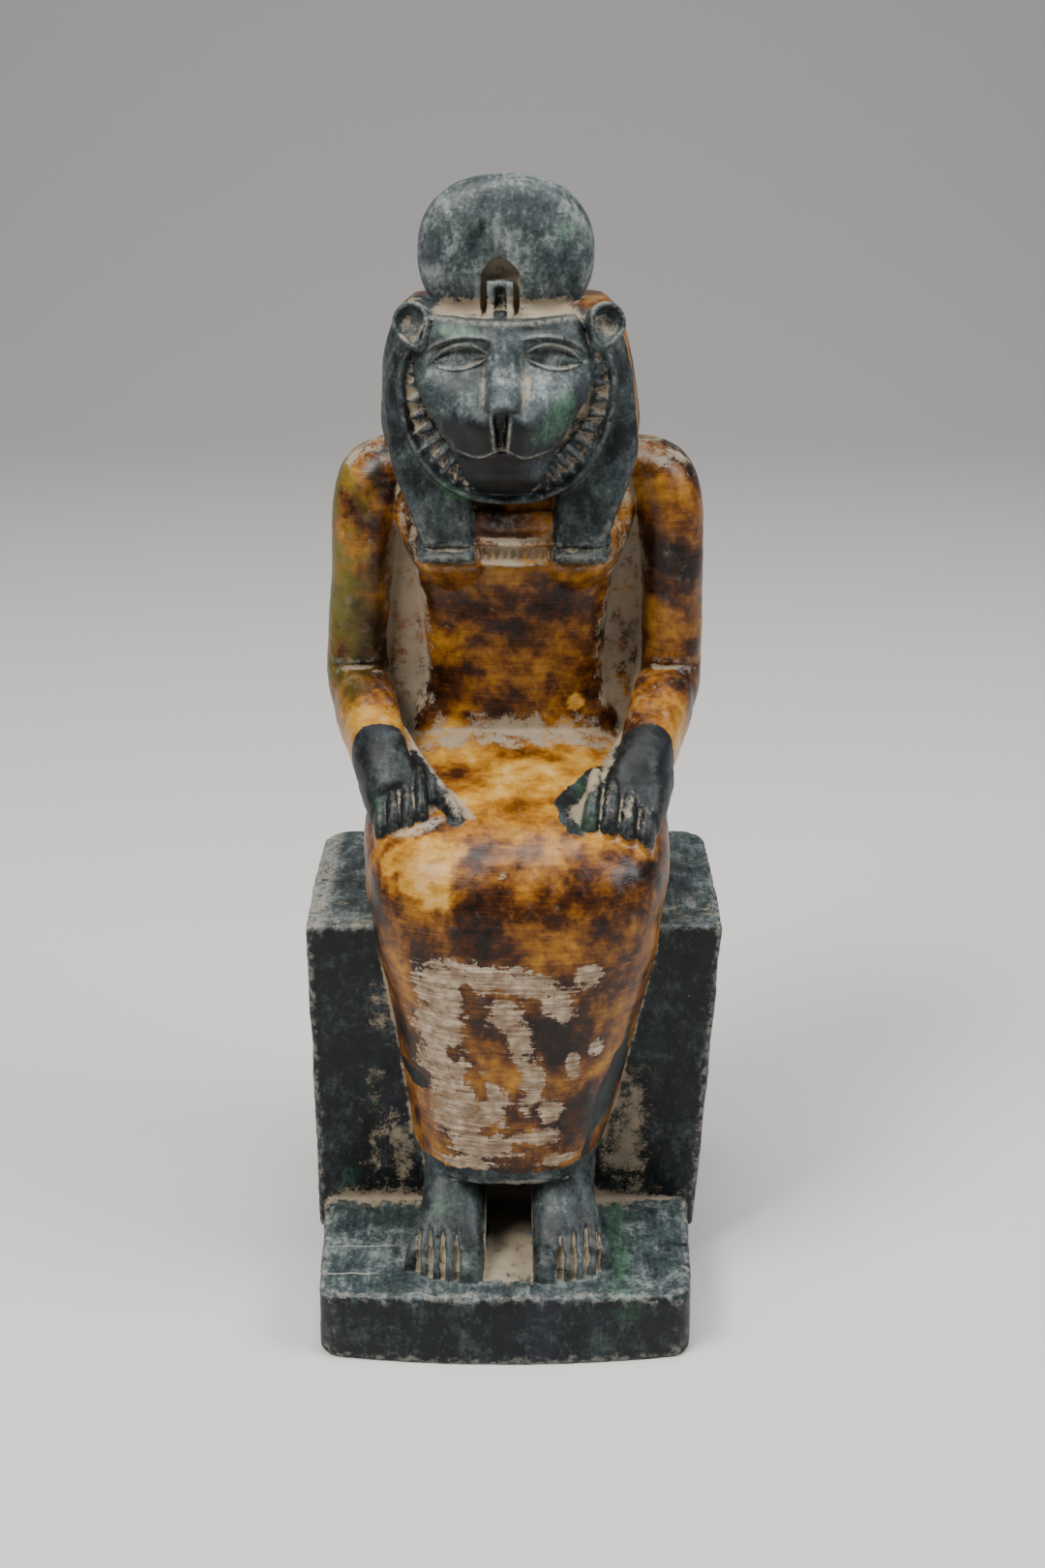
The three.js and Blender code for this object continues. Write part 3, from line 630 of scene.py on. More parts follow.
def disc():
    """The disc: squared rings whose size grows from the back to the middle and shrinks to the
    front, so both faces are domed."""
    rows = [[0, 0.22], [0.02, 0.62], [0.14, 0.88], [0.34, 0.98], [0.5, 1], [0.68, 0.98], [0.86, 0.86],
            [1, 0.5]]
    t = np.linspace(0, 1, 70)
    size = blend(rows, t)[:, 1][:, None]
    turn = np.arange(180)[None] / 180
    c, s = squared(turn, np.where(turn < 0.5, 2.35, 2.05))
    y = (DISC["back"] + (DISC["front"] - DISC["back"]) * t)[:, None]
    x = 0.2 + DISC["half"] * size * c
    z = DISC["middle"] + DISC["rise"] * size * s
    rings = np.stack(np.broadcast_arrays(x, y, z), -1)
    caps = [rings[-1:] * [k, 1, k] + [0, -0.25 * (1 - k * k), DISC["middle"] * (1 - k)]
            for k in (0.8, 0.6, 0.4, 0.2)]
    return closed(np.concatenate([rings] + caps))


def cobra_stump():
    """What is left of the cobra: a short squared post in the niche, broken off level."""
    rows = [[264, 2.9, 18.6, 26, 6], [271.4, 2.9, 18.6, 26, 6], [272.8, 2.2, 19.6, 26, 4]]
    return upright([[z, NICHE_X, *rest] for z, *rest in rows], 40, 30)


# Joining

# Edge of the squares that the joined skin is made of, in metres
GRAIN = 0.0005


def mesh_of(name, points, faces):
    """A mesh from arrays of points in drawn millimetres and of triangles."""
    mesh = bpy.data.meshes.new(name)
    mesh.vertices.add(len(points))
    mesh.vertices.foreach_set("co", ((points + CENTRING) * MM).astype(np.float32).ravel())
    mesh.loops.add(faces.size)
    mesh.loops.foreach_set("vertex_index", faces.astype(np.int32).ravel())
    mesh.polygons.add(len(faces))
    mesh.polygons.foreach_set("loop_start", np.arange(0, faces.size, 3, dtype=np.int32))
    mesh.update(calc_edges=True)
    return mesh


def joined(shells):
    """All shells in one pair of arrays."""
    points, faces, start = [], [], 0
    for shell_points, shell_faces in shells:
        points.append(shell_points)
        faces.append(shell_faces + start)
        start += len(shell_points)
    return np.concatenate(points), np.concatenate(faces)


def with_modifier(obj, kind, **values):
    """The object's mesh after one modifier, put in place of its mesh."""
    modifier = obj.modifiers.new(kind.lower(), kind)
    for name, value in values.items():
        setattr(modifier, name, value)
    done = bpy.data.meshes.new_from_object(obj.evaluated_get(bpy.context.evaluated_depsgraph_get()))
    obj.modifiers.clear()
    old = obj.data
    obj.data = done
    bpy.data.meshes.remove(old)


def points_of(mesh):
    """Vertex places in drawn millimetres, and vertex normals."""
    place = np.empty(len(mesh.vertices) * 3, np.float32)
    mesh.vertices.foreach_get("co", place)
    normal = np.empty(len(mesh.vertices) * 3, np.float32)
    mesh.vertex_normals.foreach_get("vector", normal)
    return place.reshape(-1, 3).astype(float) / MM - CENTRING, normal.reshape(-1, 3).astype(float)


def set_points(mesh, points):
    mesh.vertices.foreach_set("co", ((points + CENTRING) * MM).astype(np.float32).ravel())
    mesh.update()


def edges_of(mesh):
    edge = np.empty(len(mesh.edges) * 2, np.int32)
    mesh.edges.foreach_get("vertices", edge)
    return edge.reshape(-1, 2)


def neighbour_mean(values, edge, count):
    """Mean of each vertex's neighbours, by adding the two ends of every edge to each other."""
    a, b = edge.T
    total = np.stack([np.bincount(a, values[b, k], count) + np.bincount(b, values[a, k], count)
                      for k in range(values.shape[1])], 1)
    degree = np.bincount(a, minlength=count) + np.bincount(b, minlength=count)
    return total / np.maximum(degree, 1)[:, None]


def smoothed(values, edge, rounds, strength=0.5):
    for _ in range(rounds):
        values = values + strength * (neighbour_mean(values, edge, len(values)) - values)
    return values


# Uneven handwork

def ripple(points, size, seed):
    """Soft unevenness between -1 and 1: the mean of eight sine waves of about the given length in
    seeded directions."""
    draw = np.random.default_rng(seed)
    way = draw.normal(size=(8, 3))
    way /= np.linalg.norm(way, axis=1)[:, None]
    length = size * draw.uniform(0.7, 1.4, 8)
    phase = draw.uniform(0, 2 * np.pi, 8)
    return np.sin(points @ (way / length[:, None] * 2 * np.pi).T + phase).mean(1) * 1.6


def step(value, low, high):
    """Smooth rise from 0 at low to 1 at high."""
    t = np.clip((value - low) / (high - low), 0, 1)
    return t * t * (3 - 2 * t)


def ellipse(points, centre, size, turn=0.0):
    """1 at the middle of an ellipse in the front view, 0 on its edge and below 0 outside."""
    c, s = math.cos(math.radians(turn)), math.sin(math.radians(turn))
    dx, dz = points[:, 0] - centre[0], points[:, 2] - centre[1]
    return 1 - np.hypot((dx * c + dz * s) / size[0], (dz * c - dx * s) / size[1])


def carve():
    """The whole statue: shells laid into each other and joined into one skin of small squares."""
    seat_plan = rounded_plan(SEAT_HALF, SEAT_HALF, SEAT_FRONT, SEAT_BACK, 1.6, 8.5, 0)
    plinth_plan = rounded_plan(PLINTH_HALF, PLINTH_BACK_HALF, PLINTH_FRONT, SEAT_BACK, 5, 8.5, 1.5)
    shells = [
        block(seat_plan, 9.4, SEAT_TOP, 1.2, SEAT_LEAN, 1 - SEAT_FOOT, 0),
        block(plinth_plan, 0, PLINTH_TOP, 1.3, 0, 0, 3.6),
        skirt(), upright(TORSO, 140, 120), upright(WEB, 90, 90), upright(HEAD_CLOTH, 160, 120),
        face(), disc(), cobra_stump(), mane_rim(), mane_bed(), *collar(),
    ]
    for side in (-1, 1):
        shells += [upper_arm(side), reaching(sided(FOREARM, side, ARM_MIDDLE), 72, 80)]
        shells += [palm(side), thumb(side), instep(side), flap(side), flap_hem(side)]
        shells += [ear(side), breast(side)]
        shells += [finger(side, i) for i in range(4)] + [toe(side, i) for i in range(5)]
    shells += [tuft(math.radians(degrees)) for degrees in np.arange(*TUFTS)]
    statue = bpy.data.objects.new("carved_statue", mesh_of("carved_statue", *joined(shells)))
    bpy.context.scene.collection.objects.link(statue)
    with_modifier(statue, "REMESH", mode="VOXEL", voxel_size=GRAIN, adaptivity=0.0)
    return statue


def refine_face(statue):
    """Splits the skin's squares in four where the face and the mane are, to hold their fine lines.
    An edge is split when its first end lies there."""
    p, _ = points_of(statue.data)
    x, y, z = p[edges_of(statue.data)[:, 0]].T
    near = (z > 216) & (z < 266) & (y < 17) & (x > -30) & (x < 31)
    work = bmesh.new()
    work.from_mesh(statue.data)
    work.edges.ensure_lookup_table()
    chosen = [work.edges[i] for i in np.flatnonzero(near).tolist()]
    bmesh.ops.subdivide_edges(work, edges=chosen, cuts=1, use_grid_fill=True)
    bmesh.ops.triangulate(work, faces=[f for f in work.faces if len(f.verts) > 4])
    work.to_mesh(statue.data)
    work.free()


def niche_cut(x, y, z):
    """Depth of the skin after the niche is cut into the disc, with square jambs and an arched head
    round the standing stump, and after the upright slit is cut into the stump."""
    arch = np.minimum(5.1 - np.abs(x - NICHE_X), 279.2 - z - 0.16 * (x - NICHE_X) ** 2)
    stump = (np.abs(x - NICHE_X) < 3.3) & (z < 273.6)
    niche = step(arch, -0.2, 0.4) * step(z, 265, 266.5) * (y < 26) * (z < 283) * ~stump
    y = np.where(niche > 0, y + niche * np.maximum(0, 21.6 - y), y)
    slit = bump(x - NICHE_X, 1.5, 6) * bump(z - 268.3, 3.4, 8) * (y < 20.5) * (z < 273)
    return y + 1.6 * slit


def face_cut(x, y, z, front):
    """Depth of the skin after the face is drawn towards its own depth and cut with its lines."""
    fx = x - FACE_X
    depth = face_depth(fx, z)
    near = (np.abs(y - depth) < 1.8) & (np.abs(fx) < np.minimum(face_half(z) + 0.2, 22.8))
    near &= (z > 221) & (z < 264)
    return np.where(near, y + (depth - y) * 0.8 * front + face_carving(fx, z) * front, y)


def collar_cut(x, y, z):
    """Depth of the skin after upright strokes, 2.1 mm apart, are cut on the collar band."""
    band = (np.abs(x - FLAP_MIDDLE) < 10.6) & (z > 199.6) & (z < 203.8) & (y < 20)
    strokes = 0.6 * np.cos((x - FLAP_MIDDLE) * 2 * np.pi / 2.1) * bump(z - 201.7, 1.7, 6)
    return y + np.where(band, strokes, 0)


def line_cuts(p, normal):
    """The skin after the slots between the toes, the line in the crook of each elbow and the two
    lines that set off the hem of each flap."""
    x, y, z = p.T
    elbow = 0.7 * bump(z - 166.8, 0.8) * bump(y - 24, 5, 4) * (np.abs(x - 2) > 33)
    from_flap = np.abs(np.abs(x - FLAP_MIDDLE) - 18)
    under_hem = bump(z - 199.4, 0.8) * (y < 16) * (from_flap < 8)
    over_hem = bump(z - 203.4, 0.6) * (y < 16) * (from_flap < 7.4)
    p = p - normal * (1.7 * toe_grooves(p) + elbow)[:, None]
    p[:, 1] += 0.9 * under_hem + 0.7 * over_hem
    return p


def handwork(p, normal, edge):
    """The skin after soft unevenness, less on the head, and chipped edges on seat and plinth. The
    underside stays flat."""
    z = p[:, 2]
    cavity = np.einsum("ij,ij->i", smoothed(p, edge, 40) - p, normal)
    rough = ripple(p, 7, 3) * 0.16 + ripple(p, 18, 5) * 0.22 + ripple(p, 2.6, 11) * 0.045
    head = step(z, 205, 215) * 0.55
    chips = step(-cavity, 0.12, 0.4) * step(ripple(p, 5, 21), 0.25, 0.7) * step(114 - z, 0, 8) * 0.5
    still = step(z, 0.2, 1.6)
    p = p + normal * ((rough * (1 - head) - chips) * still)[:, None]
    p[:, 2] = np.maximum(p[:, 2], 0)
    p[:, 2] = np.where((p[:, 2] < 0.35) & (normal[:, 2] < -0.7), 0, p[:, 2])
    return p


def cut_relief(statue):
    """Moves the skin's vertices: a light smoothing, then the niche, the face's fine lines, the
    collar strokes, a brow edge that dips in the middle, slots and lines, and the handwork."""
    mesh = statue.data
    edge = edges_of(mesh)
    p, normal = points_of(mesh)
    x, y, z = smoothed(p, edge, 3).T
    y = niche_cut(x, y, z)
    y = face_cut(x, y, z, step(-normal[:, 1], 0.05, 0.3))
    y = collar_cut(x, y, z)
    brow_dip = bump(x + 0.2, 13, 4) * step(z, 259, 264) * (y < 20) * (z < 267)
    p = np.stack([x, y, z - 0.9 * brow_dip], 1)
    set_points(mesh, handwork(line_cuts(p, normal), normal, edge))


def put(mesh, name, values):
    layer = mesh.attributes.get(name) or mesh.attributes.new(name, "FLOAT", "POINT")
    layer.data.foreach_set("value", np.asarray(values, np.float32))


def mark_hollows(statue):
    """Writes how hollow or how sharp the skin is at two scales: the distance along the normal from
    a vertex to the smoothed skin, in mm."""
    mesh = statue.data
    edge = edges_of(mesh)
    p, normal = points_of(mesh)
    near = smoothed(p, edge, 12)
    wide = smoothed(near, edge, 110)
    put(mesh, "hollow", np.einsum("ij,ij->i", near - p, normal))
    put(mesh, "deep", np.einsum("ij,ij->i", wide - p, normal))


def thin_out(statue, most=192000):
    """Fewer triangles where the skin is flat or turned away from the front."""
    mesh = statue.data
    p, _ = points_of(mesh)
    away = np.clip(0.25 + 0.75 * step(p[:, 1], 20, 50) + 0.3 * step(40 - p[:, 2], 0, 20), 0, 1)
    away = np.where(np.abs(p[:, 2] - 80) < 45, away * 0.8, away)
    group = statue.vertex_groups.new(name="coarse")
    bands = np.round(away * 4).astype(int)
    for level in range(5):
        group.add(np.flatnonzero(bands == level).tolist(), 0.2 + 0.2 * level, "REPLACE")
    triangles = len(mesh.loops) - 2 * len(mesh.polygons)
    with_modifier(statue, "DECIMATE", ratio=most / triangles, use_collapse_triangulate=True,
                  vertex_group="coarse", vertex_group_factor=0.00002)
    statue.vertex_groups.clear()


# Patches of finish in the front view

# Patches of bare stone on the dress: centre x, centre z, half length, half height, turn
BARE = [
    (-17, 98, 8, 9, 0), (-18, 87, 7, 9, 0), (-9, 103, 10, 4.5, -10), (5, 101, 12, 4.2, -14),
    (14, 95, 5, 4.5, -35), (-17, 74, 7, 11, 0), (-13, 61, 9, 8, 0), (-5, 66, 6, 9, 20),
    (4, 84, 3.6, 9, 10), (7, 71, 3.2, 9, -10),
    (-6, 52, 10, 4, 0), (8, 55, 7, 3, 0), (12, 63, 3.6, 4, 0), (18, 76, 2, 4.4, 0), (14, 47, 6, 2.2, 0),
    (22, 103, 4, 3.4, 0), (24, 80, 2.2, 2.6, 0), (0, 92, 5, 5, 0), (-10, 46, 9, 2, 0),
]
# Dust smears on the front of the seat: centre x, centre z, half length, half height, turn
SMEARS = [(-34, 79, 8, 13, 0), (31, 40, 10, 27, 0), (-29, 36, 6, 17, 0), (-44, 21, 7, 4, 0)]
# Scratches on the plinth: depth y, left end, right end
SCRATCHES = [(-37, -47.5, -29), (-50.4, -50, -34)]
# Islands of varnish left in the bare patches: centre x, centre z, half length, half height, turn
VARNISHED = [
    (-9, 96, 2.6, 8, 15), (-3, 80, 3.6, 10, 0), (-7, 71, 2.6, 7, 10), (14, 84, 3, 6, 0), (-22, 70, 3, 3, 0),
    (-4, 57, 4, 1.6, 0), (1, 74, 2.4, 7, 0), (2, 62, 3, 5, 0), (-14, 79, 2.4, 4, 20), (9, 90, 2.2, 4, 0),
]
# Small pale chips: centre x, centre z, half length, half height, turn
CHIPS = [(-22.6, 136.3, 8.5, 1, 17), (-4.9, 150.2, 4, 1.1, -5), (-26, 262.6, 1, 1.4, 0),
         (-53, 103.6, 4, 1.4, 0), (4, 40.9, 8, 1, 0)]
# Green paint that strays onto the dress: centre x, centre z, half length, half height, turn
STRAY_GREEN = [(-25, 67.4, 4.6, 3, 0), (27.4, 63, 19, 3, 71)]
# Patches of brighter green: centre x, centre z, half length, half height, turn, strength
LEAF = [
    (13, 240, 11, 5.5, 50, 1.3), (15, 286, 8, 8, 0, 0.6), (-12, 262, 9, 3, 0, 0.8),
    (-14, 219, 9, 3, -35, 0.9),
    (-34, 140, 4, 9, 0, 0.7), (22, 139, 5, 9, 0, 0.8), (31, 21, 6, 5, 0, 0.9), (34, 14, 14, 5, 0, 0.5),
    (-18, 34, 4, 8, 0, 0.5), (26, 48, 4, 10, 0, 0.8), (-38, 60, 9, 16, 0, 0.4), (40, 70, 8, 18, 0, 0.4),
    (-44, 26, 8, 10, 0, 0.5), (25, 255, 5, 8, 0, 0.4), (27, 61, 17, 4, 70, 0.6),
]


def highest(p, patches):
    """The highest value of a list of ellipses at each point."""
    return np.maximum.reduce([ellipse(p, (x, z), (length, height), turn)
                              for x, z, length, height, turn in patches])


# Where each finish lies, from the places of the points

def wander_of(p):
    """How far the border between two finishes wanders."""
    return ripple(p, 11, 31) + 0.4 * ripple(p, 4, 32)


def above_lap(p):
    """Height over the lap, which is drawn on level beyond its own ends."""
    x, y, z = p.T
    return z - lap(np.clip(x, -60, 60), np.clip(y, -35, 40))


def hands_of(p):
    """1 on the hands as far as the wrists, 0 elsewhere."""
    x, y, z = p.T
    wrist = step(2.5 + wander_of(p) * 0.8 - y, -0.5, 0.5)
    on_knees = (np.abs(x - HAND_MIDDLE) > 11) & (z > 120) & (z < 162) & (y > -32)
    return wrist * on_knees * step(above_lap(p), 0.2, 0.9)


def head_of(p):
    """True on the green parts of the head: the cloth's front with its flaps, mane, ears and top."""
    x, y, z = p.T
    from_middle = np.abs(x - FLAP_MIDDLE)
    side_line = 18.8 + 0.03 * (z - 230) + 13 * step(-x, 8, 20)
    front = (z > 199.2) & (y < side_line) & (np.abs(x - 1) < 36.5)
    front &= ((x > -29) | (z > 226)) & ((from_middle > FLAP_INNER - 0.6) | (z > 214))
    flaps = (z > 199) & (z < 262) & (y < 16.8) & (from_middle < 35) & (from_middle > FLAP_INNER - 0.5)
    mane = (mane_ring(x, z) < 1.06) & (y < 17)
    ears = (np.hypot(np.abs(x - 1.1) - 24.2, z - 261.5) < 9.5) & (y < 21) & (z > 252)
    chest = (z < 219) & ~flaps & ~mane
    return (front | (z > CROWN) | ears | mane) & ~chest | flaps


def halo_of(p):
    """1 where green paint strays round the hands onto the lap."""
    x, y, z = p.T
    out = x - HAND_MIDDLE
    right = 1 - np.hypot((out - 15.4 - 0.45 * np.maximum(y + 14, 0)) / 5.8, (y + 9) / 18)
    left = 1 - np.hypot((out + 15.6) / 3.4, (y + 19) / 5)
    near = (z > 120) & (z < 152) & (y > -32)
    return step(np.maximum(right, left) + 0.14 * wander_of(p), 0, 0.2) * near


def stray_of(p):
    """1 where green paint strays onto the edges of the dress."""
    return step(highest(p, STRAY_GREEN) + 0.3 * wander_of(p), 0, 0.3) * (p[:, 1] < -14)


def lap_top_of(p):
    """1 on top of the lap between the hands, 0 elsewhere."""
    y, z = p[:, 1], p[:, 2]
    height = above_lap(p)
    near = (z < 152) & (y > -40) & (y < 26) & (hands_of(p) < 0.5)
    return step(height, -3, 0) * step(height, 14, 4) * near


def face_of(p):
    """True on the face's own skin."""
    x, y, z = p.T
    fx = x - FACE_X
    return (np.abs(y - face_depth(fx, z)) < 2.6) & (np.abs(fx) < face_half(z) + 0.3) & (z > 219)


def slit_of(p):
    """1 in the slit of the cobra's stump."""
    x, y, z = p.T
    return bump(x - NICHE_X, 1.7, 6) * bump(z - 268.3, 3.8, 8) * (y < 21.5) * (z < 273.5)


def green_paint(p):
    """Seat, plinth, feet, hands, head and strays are green; the body between them is brown."""
    y, z = p[:, 1], p[:, 2]
    dress = ((y < SEAT_FRONT - 0.9) & (z > HEM - 0.4)) | (z > SEAT_TOP + 0.9)
    ankles = step(HEM + 4.6 + wander_of(p) * 0.9 - z, -0.6, 0.6) * (y < SEAT_FRONT - 0.9)
    return np.maximum.reduce([halo_of(p), ~dress, ankles, hands_of(p), head_of(p), stray_of(p)])


def bare_stone(p):
    """Worn patches less their islands of varnish, on the front of the dress only."""
    on_front = (p[:, 1] < -14) & (p[:, 2] > HEM)
    patch = np.minimum(highest(p, BARE), 0.5 - 1.6 * highest(p, VARNISHED))
    return np.clip(np.where(on_front, patch * 1.5 + 0.04, -1.4), -1.4, 0.7)


def thin_varnish(p):
    """Paler on the lap, the elbows, under the collar, on the left knee and beside the waist."""
    x, y, z = p.T
    top = 0.6 * lap_top_of(p) * bump(y - 2, 26, 4)
    elbow = 0.3 * bump(z - 158, 9) * step(30 - y, 0, 14) * (np.abs(x - 2) > 28)
    breast = 0.15 * bump(z - 192, 6) * bump(np.abs(x - 2) - 17, 8) * (y < 22)
    knee = 0.6 * step(ellipse(p, (-22, 130), (12, 8), -24) + 0.4 * wander_of(p), 0, 0.08) * (y < -24)
    waist = 1.2 * step(ellipse(p, (19.6, 156.3), (2.6, 2.8)), 0, 0.3) * (y < 30)
    return np.clip(top + elbow + breast + knee + waist, 0, 1)


def body_dust(p, normal):
    """Dust on the body, as a list: shoulders, the stone behind the arms, belly, collar, the crooks
    of the elbows, forearm and armpits."""
    x, y, z = p.T
    from_middle = np.abs(x - 2.3)
    web = bump(from_middle - 30, 7, 4) * step(z, 146, 156) * step(212 - z, 0, 8)
    armpit = bump(from_middle - 29, 4.5, 4) * step(z, 186, 196) * step(224 - z, 0, 8)
    belly = step(above_lap(p), 9, 0) * step(y, 8, 20) * step(30 - y, 0, 4)
    collar = bump(x - FLAP_MIDDLE, 9.8, 8) * step(z, 197.4, 198.6) * step(206.4 - z, 0, 1.2)
    return [
        0.6 * step(normal[:, 2], 0.2, 0.8) * step(z, 196, 218) * step(np.abs(x - 2), 20, 30),
        0.82 * web * step(y, 24, 30) * step(46 - y, 0, 8),
        0.8 * belly * step(z, 140, 146) * bump(x - 2, 34, 6),
        0.75 * collar * (y < 20),
        0.5 * bump(z - 166.4, 1.2) * bump(y - 23.6, 3) * (np.abs(x - 2) > 33),
        0.45 * ellipse(p, (42, 163), (7, 4)).clip(0) * (y < 30) * (y > 0),
        0.5 * armpit * (y < 32) * ~head_of(p),
    ]


def seat_dust(p, normal):
    """Dust low down, as a list: on the seat's top and front, beside the dress, on the plinth
    against the seat, and between the feet and the toes."""
    x, y, z = p.T
    at_seat_front = np.abs(y - SEAT_FRONT) < 2
    heaps = 0.3 + 0.55 * bump(x + 41, 8) + 0.4 * bump(x + 27, 6) + 0.5 * bump(x - 29, 8)
    beside_dress = 0.42 * bump(np.abs(x - 1) - 37, 6) * (z < 62) * (z > PLINTH_TOP)
    between_feet = (np.abs(x - FEET_MIDDLE) < 6.6) * step(HEM - 3 - z, 0, 8)
    return [
        0.4 * step(z, SEAT_TOP - 0.8, SEAT_TOP) * (normal[:, 2] > 0.6) * step(-y, -30, 8),
        heaps * step(26 - z, 0, 6) * step(y, -21, -13) * (y < -10),
        (beside_dress + 0.9 * highest(p, SMEARS).clip(0, 0.62)) * at_seat_front,
        0.95 * between_feet * (y < -10) * step(y, -58, -52),
        0.85 * toe_grooves(p),
    ]


def head_dust(p):
    """Dust on the head, as a list: the ledge under the disc, and in the ears."""
    x, y, z = p.T
    ledge = step(z, 262.6, 264) * step(270 - z, 0, 1.5) * step(y, 12, 14) * step(23 - y, 0, 2)
    in_ears = (np.hypot(np.abs(x - 1.1) - 24.6, z - 262) < 3.4) & (y > 12.2) & (y < 17)
    return [ledge * bump(x - 0.6, 20, 8), 0.55 * in_ears]


def beside_hands(p):
    """1 along the inner side of each thumb, where the dust lies thickest."""
    x, y, z = p.T
    depth, out = np.array(THUMB)[::-1, :2].T
    thumb_line = np.interp(y, depth, out) + RIGHT_THUMB_OUT * step(-y, -5, 14) * (x > HAND_MIDDLE)
    inner_side = bump(np.abs(x - HAND_MIDDLE) - thumb_line + 2.6, 4, 4) * step(y, -23, -18)
    height = above_lap(p)
    return inner_side * (y < 36) * (z < 165) * (height > -1) * step(height, 12, 9)


def settled_dust(p, normal):
    """The thickest of all dust, less what is clean or dark: the backs of the hands, the lap, the stump's
    slit, the mouth and the slot under the nose, the chin and the rest of the face. It stays on the
    ground of the mane and on the right side of the nose."""
    x, y, z = p.T
    fx = x - FACE_X
    face = face_of(p)
    ring = mane_ring(x, z)
    by_hand = beside_hands(p)
    dust = np.maximum.reduce([*body_dust(p, normal), *seat_dust(p, normal), *head_dust(p), 0.95 * by_hand])
    dust = dust - 0.9 * hands_of(p) * step(normal[:, 2], 0.3, 0.6) * step(y, -16, -12) * (1 - by_hand)
    dust = dust - 0.35 * lap_top_of(p) * (y < 12) * (1 - by_hand)
    slot = bump(fx + 0.7, 1.7, 4) * bump(z - 238, 6, 8)
    mouth = bump(z - mouth_line(fx) + 1.4, 1.3, 4) * bump(fx, 12, 8)
    chin = (ring < 0.8) * (z > 217) * (z < 228) * (y < 14)
    dust = dust - 1.6 * slit_of(p) - 1.6 * (slot + mouth) * face - 1.2 * chin
    dust = dust - 0.3 * face + 0.7 * bump(fx - 6, 1.6) * bump(z - 249, 6, 4) * face
    mane_ground = (ring < 0.95) & (np.abs(fx) > face_half(z) - 0.4) & (y < 19) & (z > 219)
    mane_ground &= y > 12.8 + 1.5 * (z - MANE_Z) / MANE_HALF
    return np.clip(np.maximum(dust, 0.66 * mane_ground), -1, 1)


def green_tone_and_painted_light(p, normal):
    """How pale the green paint is. It is paler on level tops as painted light, paler on the face as a
    painted highlight, and paler on the crown. It is darker on upright sides and in the stump's slit as
    painted shade, darker on the muzzle partly as painted shade and partly as darker paint, and darker paint
    on the hands, round them and on strays."""
    x, y, z = p.T
    fx = x - FACE_X
    # Painted light: the level tops of the plinth and the seat are paler.
    level = step(normal[:, 2], 0.25, 0.85) * ((z < PLINTH_TOP + 1.2) | (np.abs(z - SEAT_TOP) < 1.5))
    # Painted highlight: the face is paler.
    face = bump(x, 22, 6) * bump(z - 251, 9, 4) * (y < 18)
    light = np.maximum.reduce([0.55 * level, 0.65 * (z > CROWN), 0.65 * face])
    # Painted shade: the upright sides of the plinth and the seat are darker.
    sides = (z < SEAT_TOP - 1) & (np.abs(normal[:, 2]) < 0.4) & ((z < PLINTH_TOP) | (y > SEAT_FRONT - 1))
    # Partly painted shade and partly darker paint: the muzzle under the nose is darker.
    muzzle = bump(fx, 17, 6) * step(243 - z, 0, 5) * face_of(p) * (1 - 0.6 * step(fx, 4, 9))
    # Painted shade on upright sides and under the nose, and darker paint on the hands.
    light = light - 0.75 * sides - 0.8 * hands_of(p) - 1.4 * muzzle
    # Darker paint round the hands and on strays; painted shade in the stump's slit.
    return light - 0.8 * halo_of(p) - 1.2 * stray_of(p) - 1.8 * slit_of(p)


def rubbed_lines(p):
    """1 where the paint is worn off lines and chips: lids, brows, the rims of slot and mouth, the
    sides of the nose, the brow's edge and the flaps' hems."""
    x, y, z = p.T
    fx = x - FACE_X
    face_lines = np.maximum.reduce([
        bump(eye_line(fx, z) - 1.14, 0.19),
        0.6 * bump(z - brow_arch(fx), 0.5) * brow_reach(fx),
        bump(np.abs(fx + 0.7) - slot_half(z) - 0.8, 0.36) * bump(z - 237.2, 5, 8),
        bump(z - mouth_line(fx) - 0.25, 0.36) * bump(fx + 0.4, 11.8, 10),
        0.9 * bump(np.abs(fx + 0.2) - 5.2, 0.6) * bump(z - 250, 6.4, 6),
    ])
    brow_edge = 0.8 * bump(z - 264.8 + 0.9 * bump(x + 0.2, 13, 4), 0.5) * (y < 17) * (np.abs(x) < 21)
    hems = 0.35 * bump(z - 202.2, 0.7) * (y < 15) * bump(np.abs(x - FLAP_MIDDLE) - 18, 7.5, 8)
    chips = highest(p, CHIPS) * 3 + 0.3 * wander_of(p)
    return np.clip(np.maximum.reduce([face_lines * face_of(p), brow_edge, hems, chips]), 0, 1)


def worn_edges(p):
    """How far sharp edges are worn: most on seat and plinth, least on feet, face and hands."""
    y, z = p[:, 1], p[:, 2]
    feet = (y < SEAT_FRONT - 2) & (z > PLINTH_TOP + 0.8) & (z < HEM)
    return np.where(feet | face_of(p) | (hands_of(p) > 0.5), 0.12, np.where(z < SEAT_TOP + 1, 0.5, 0.35))


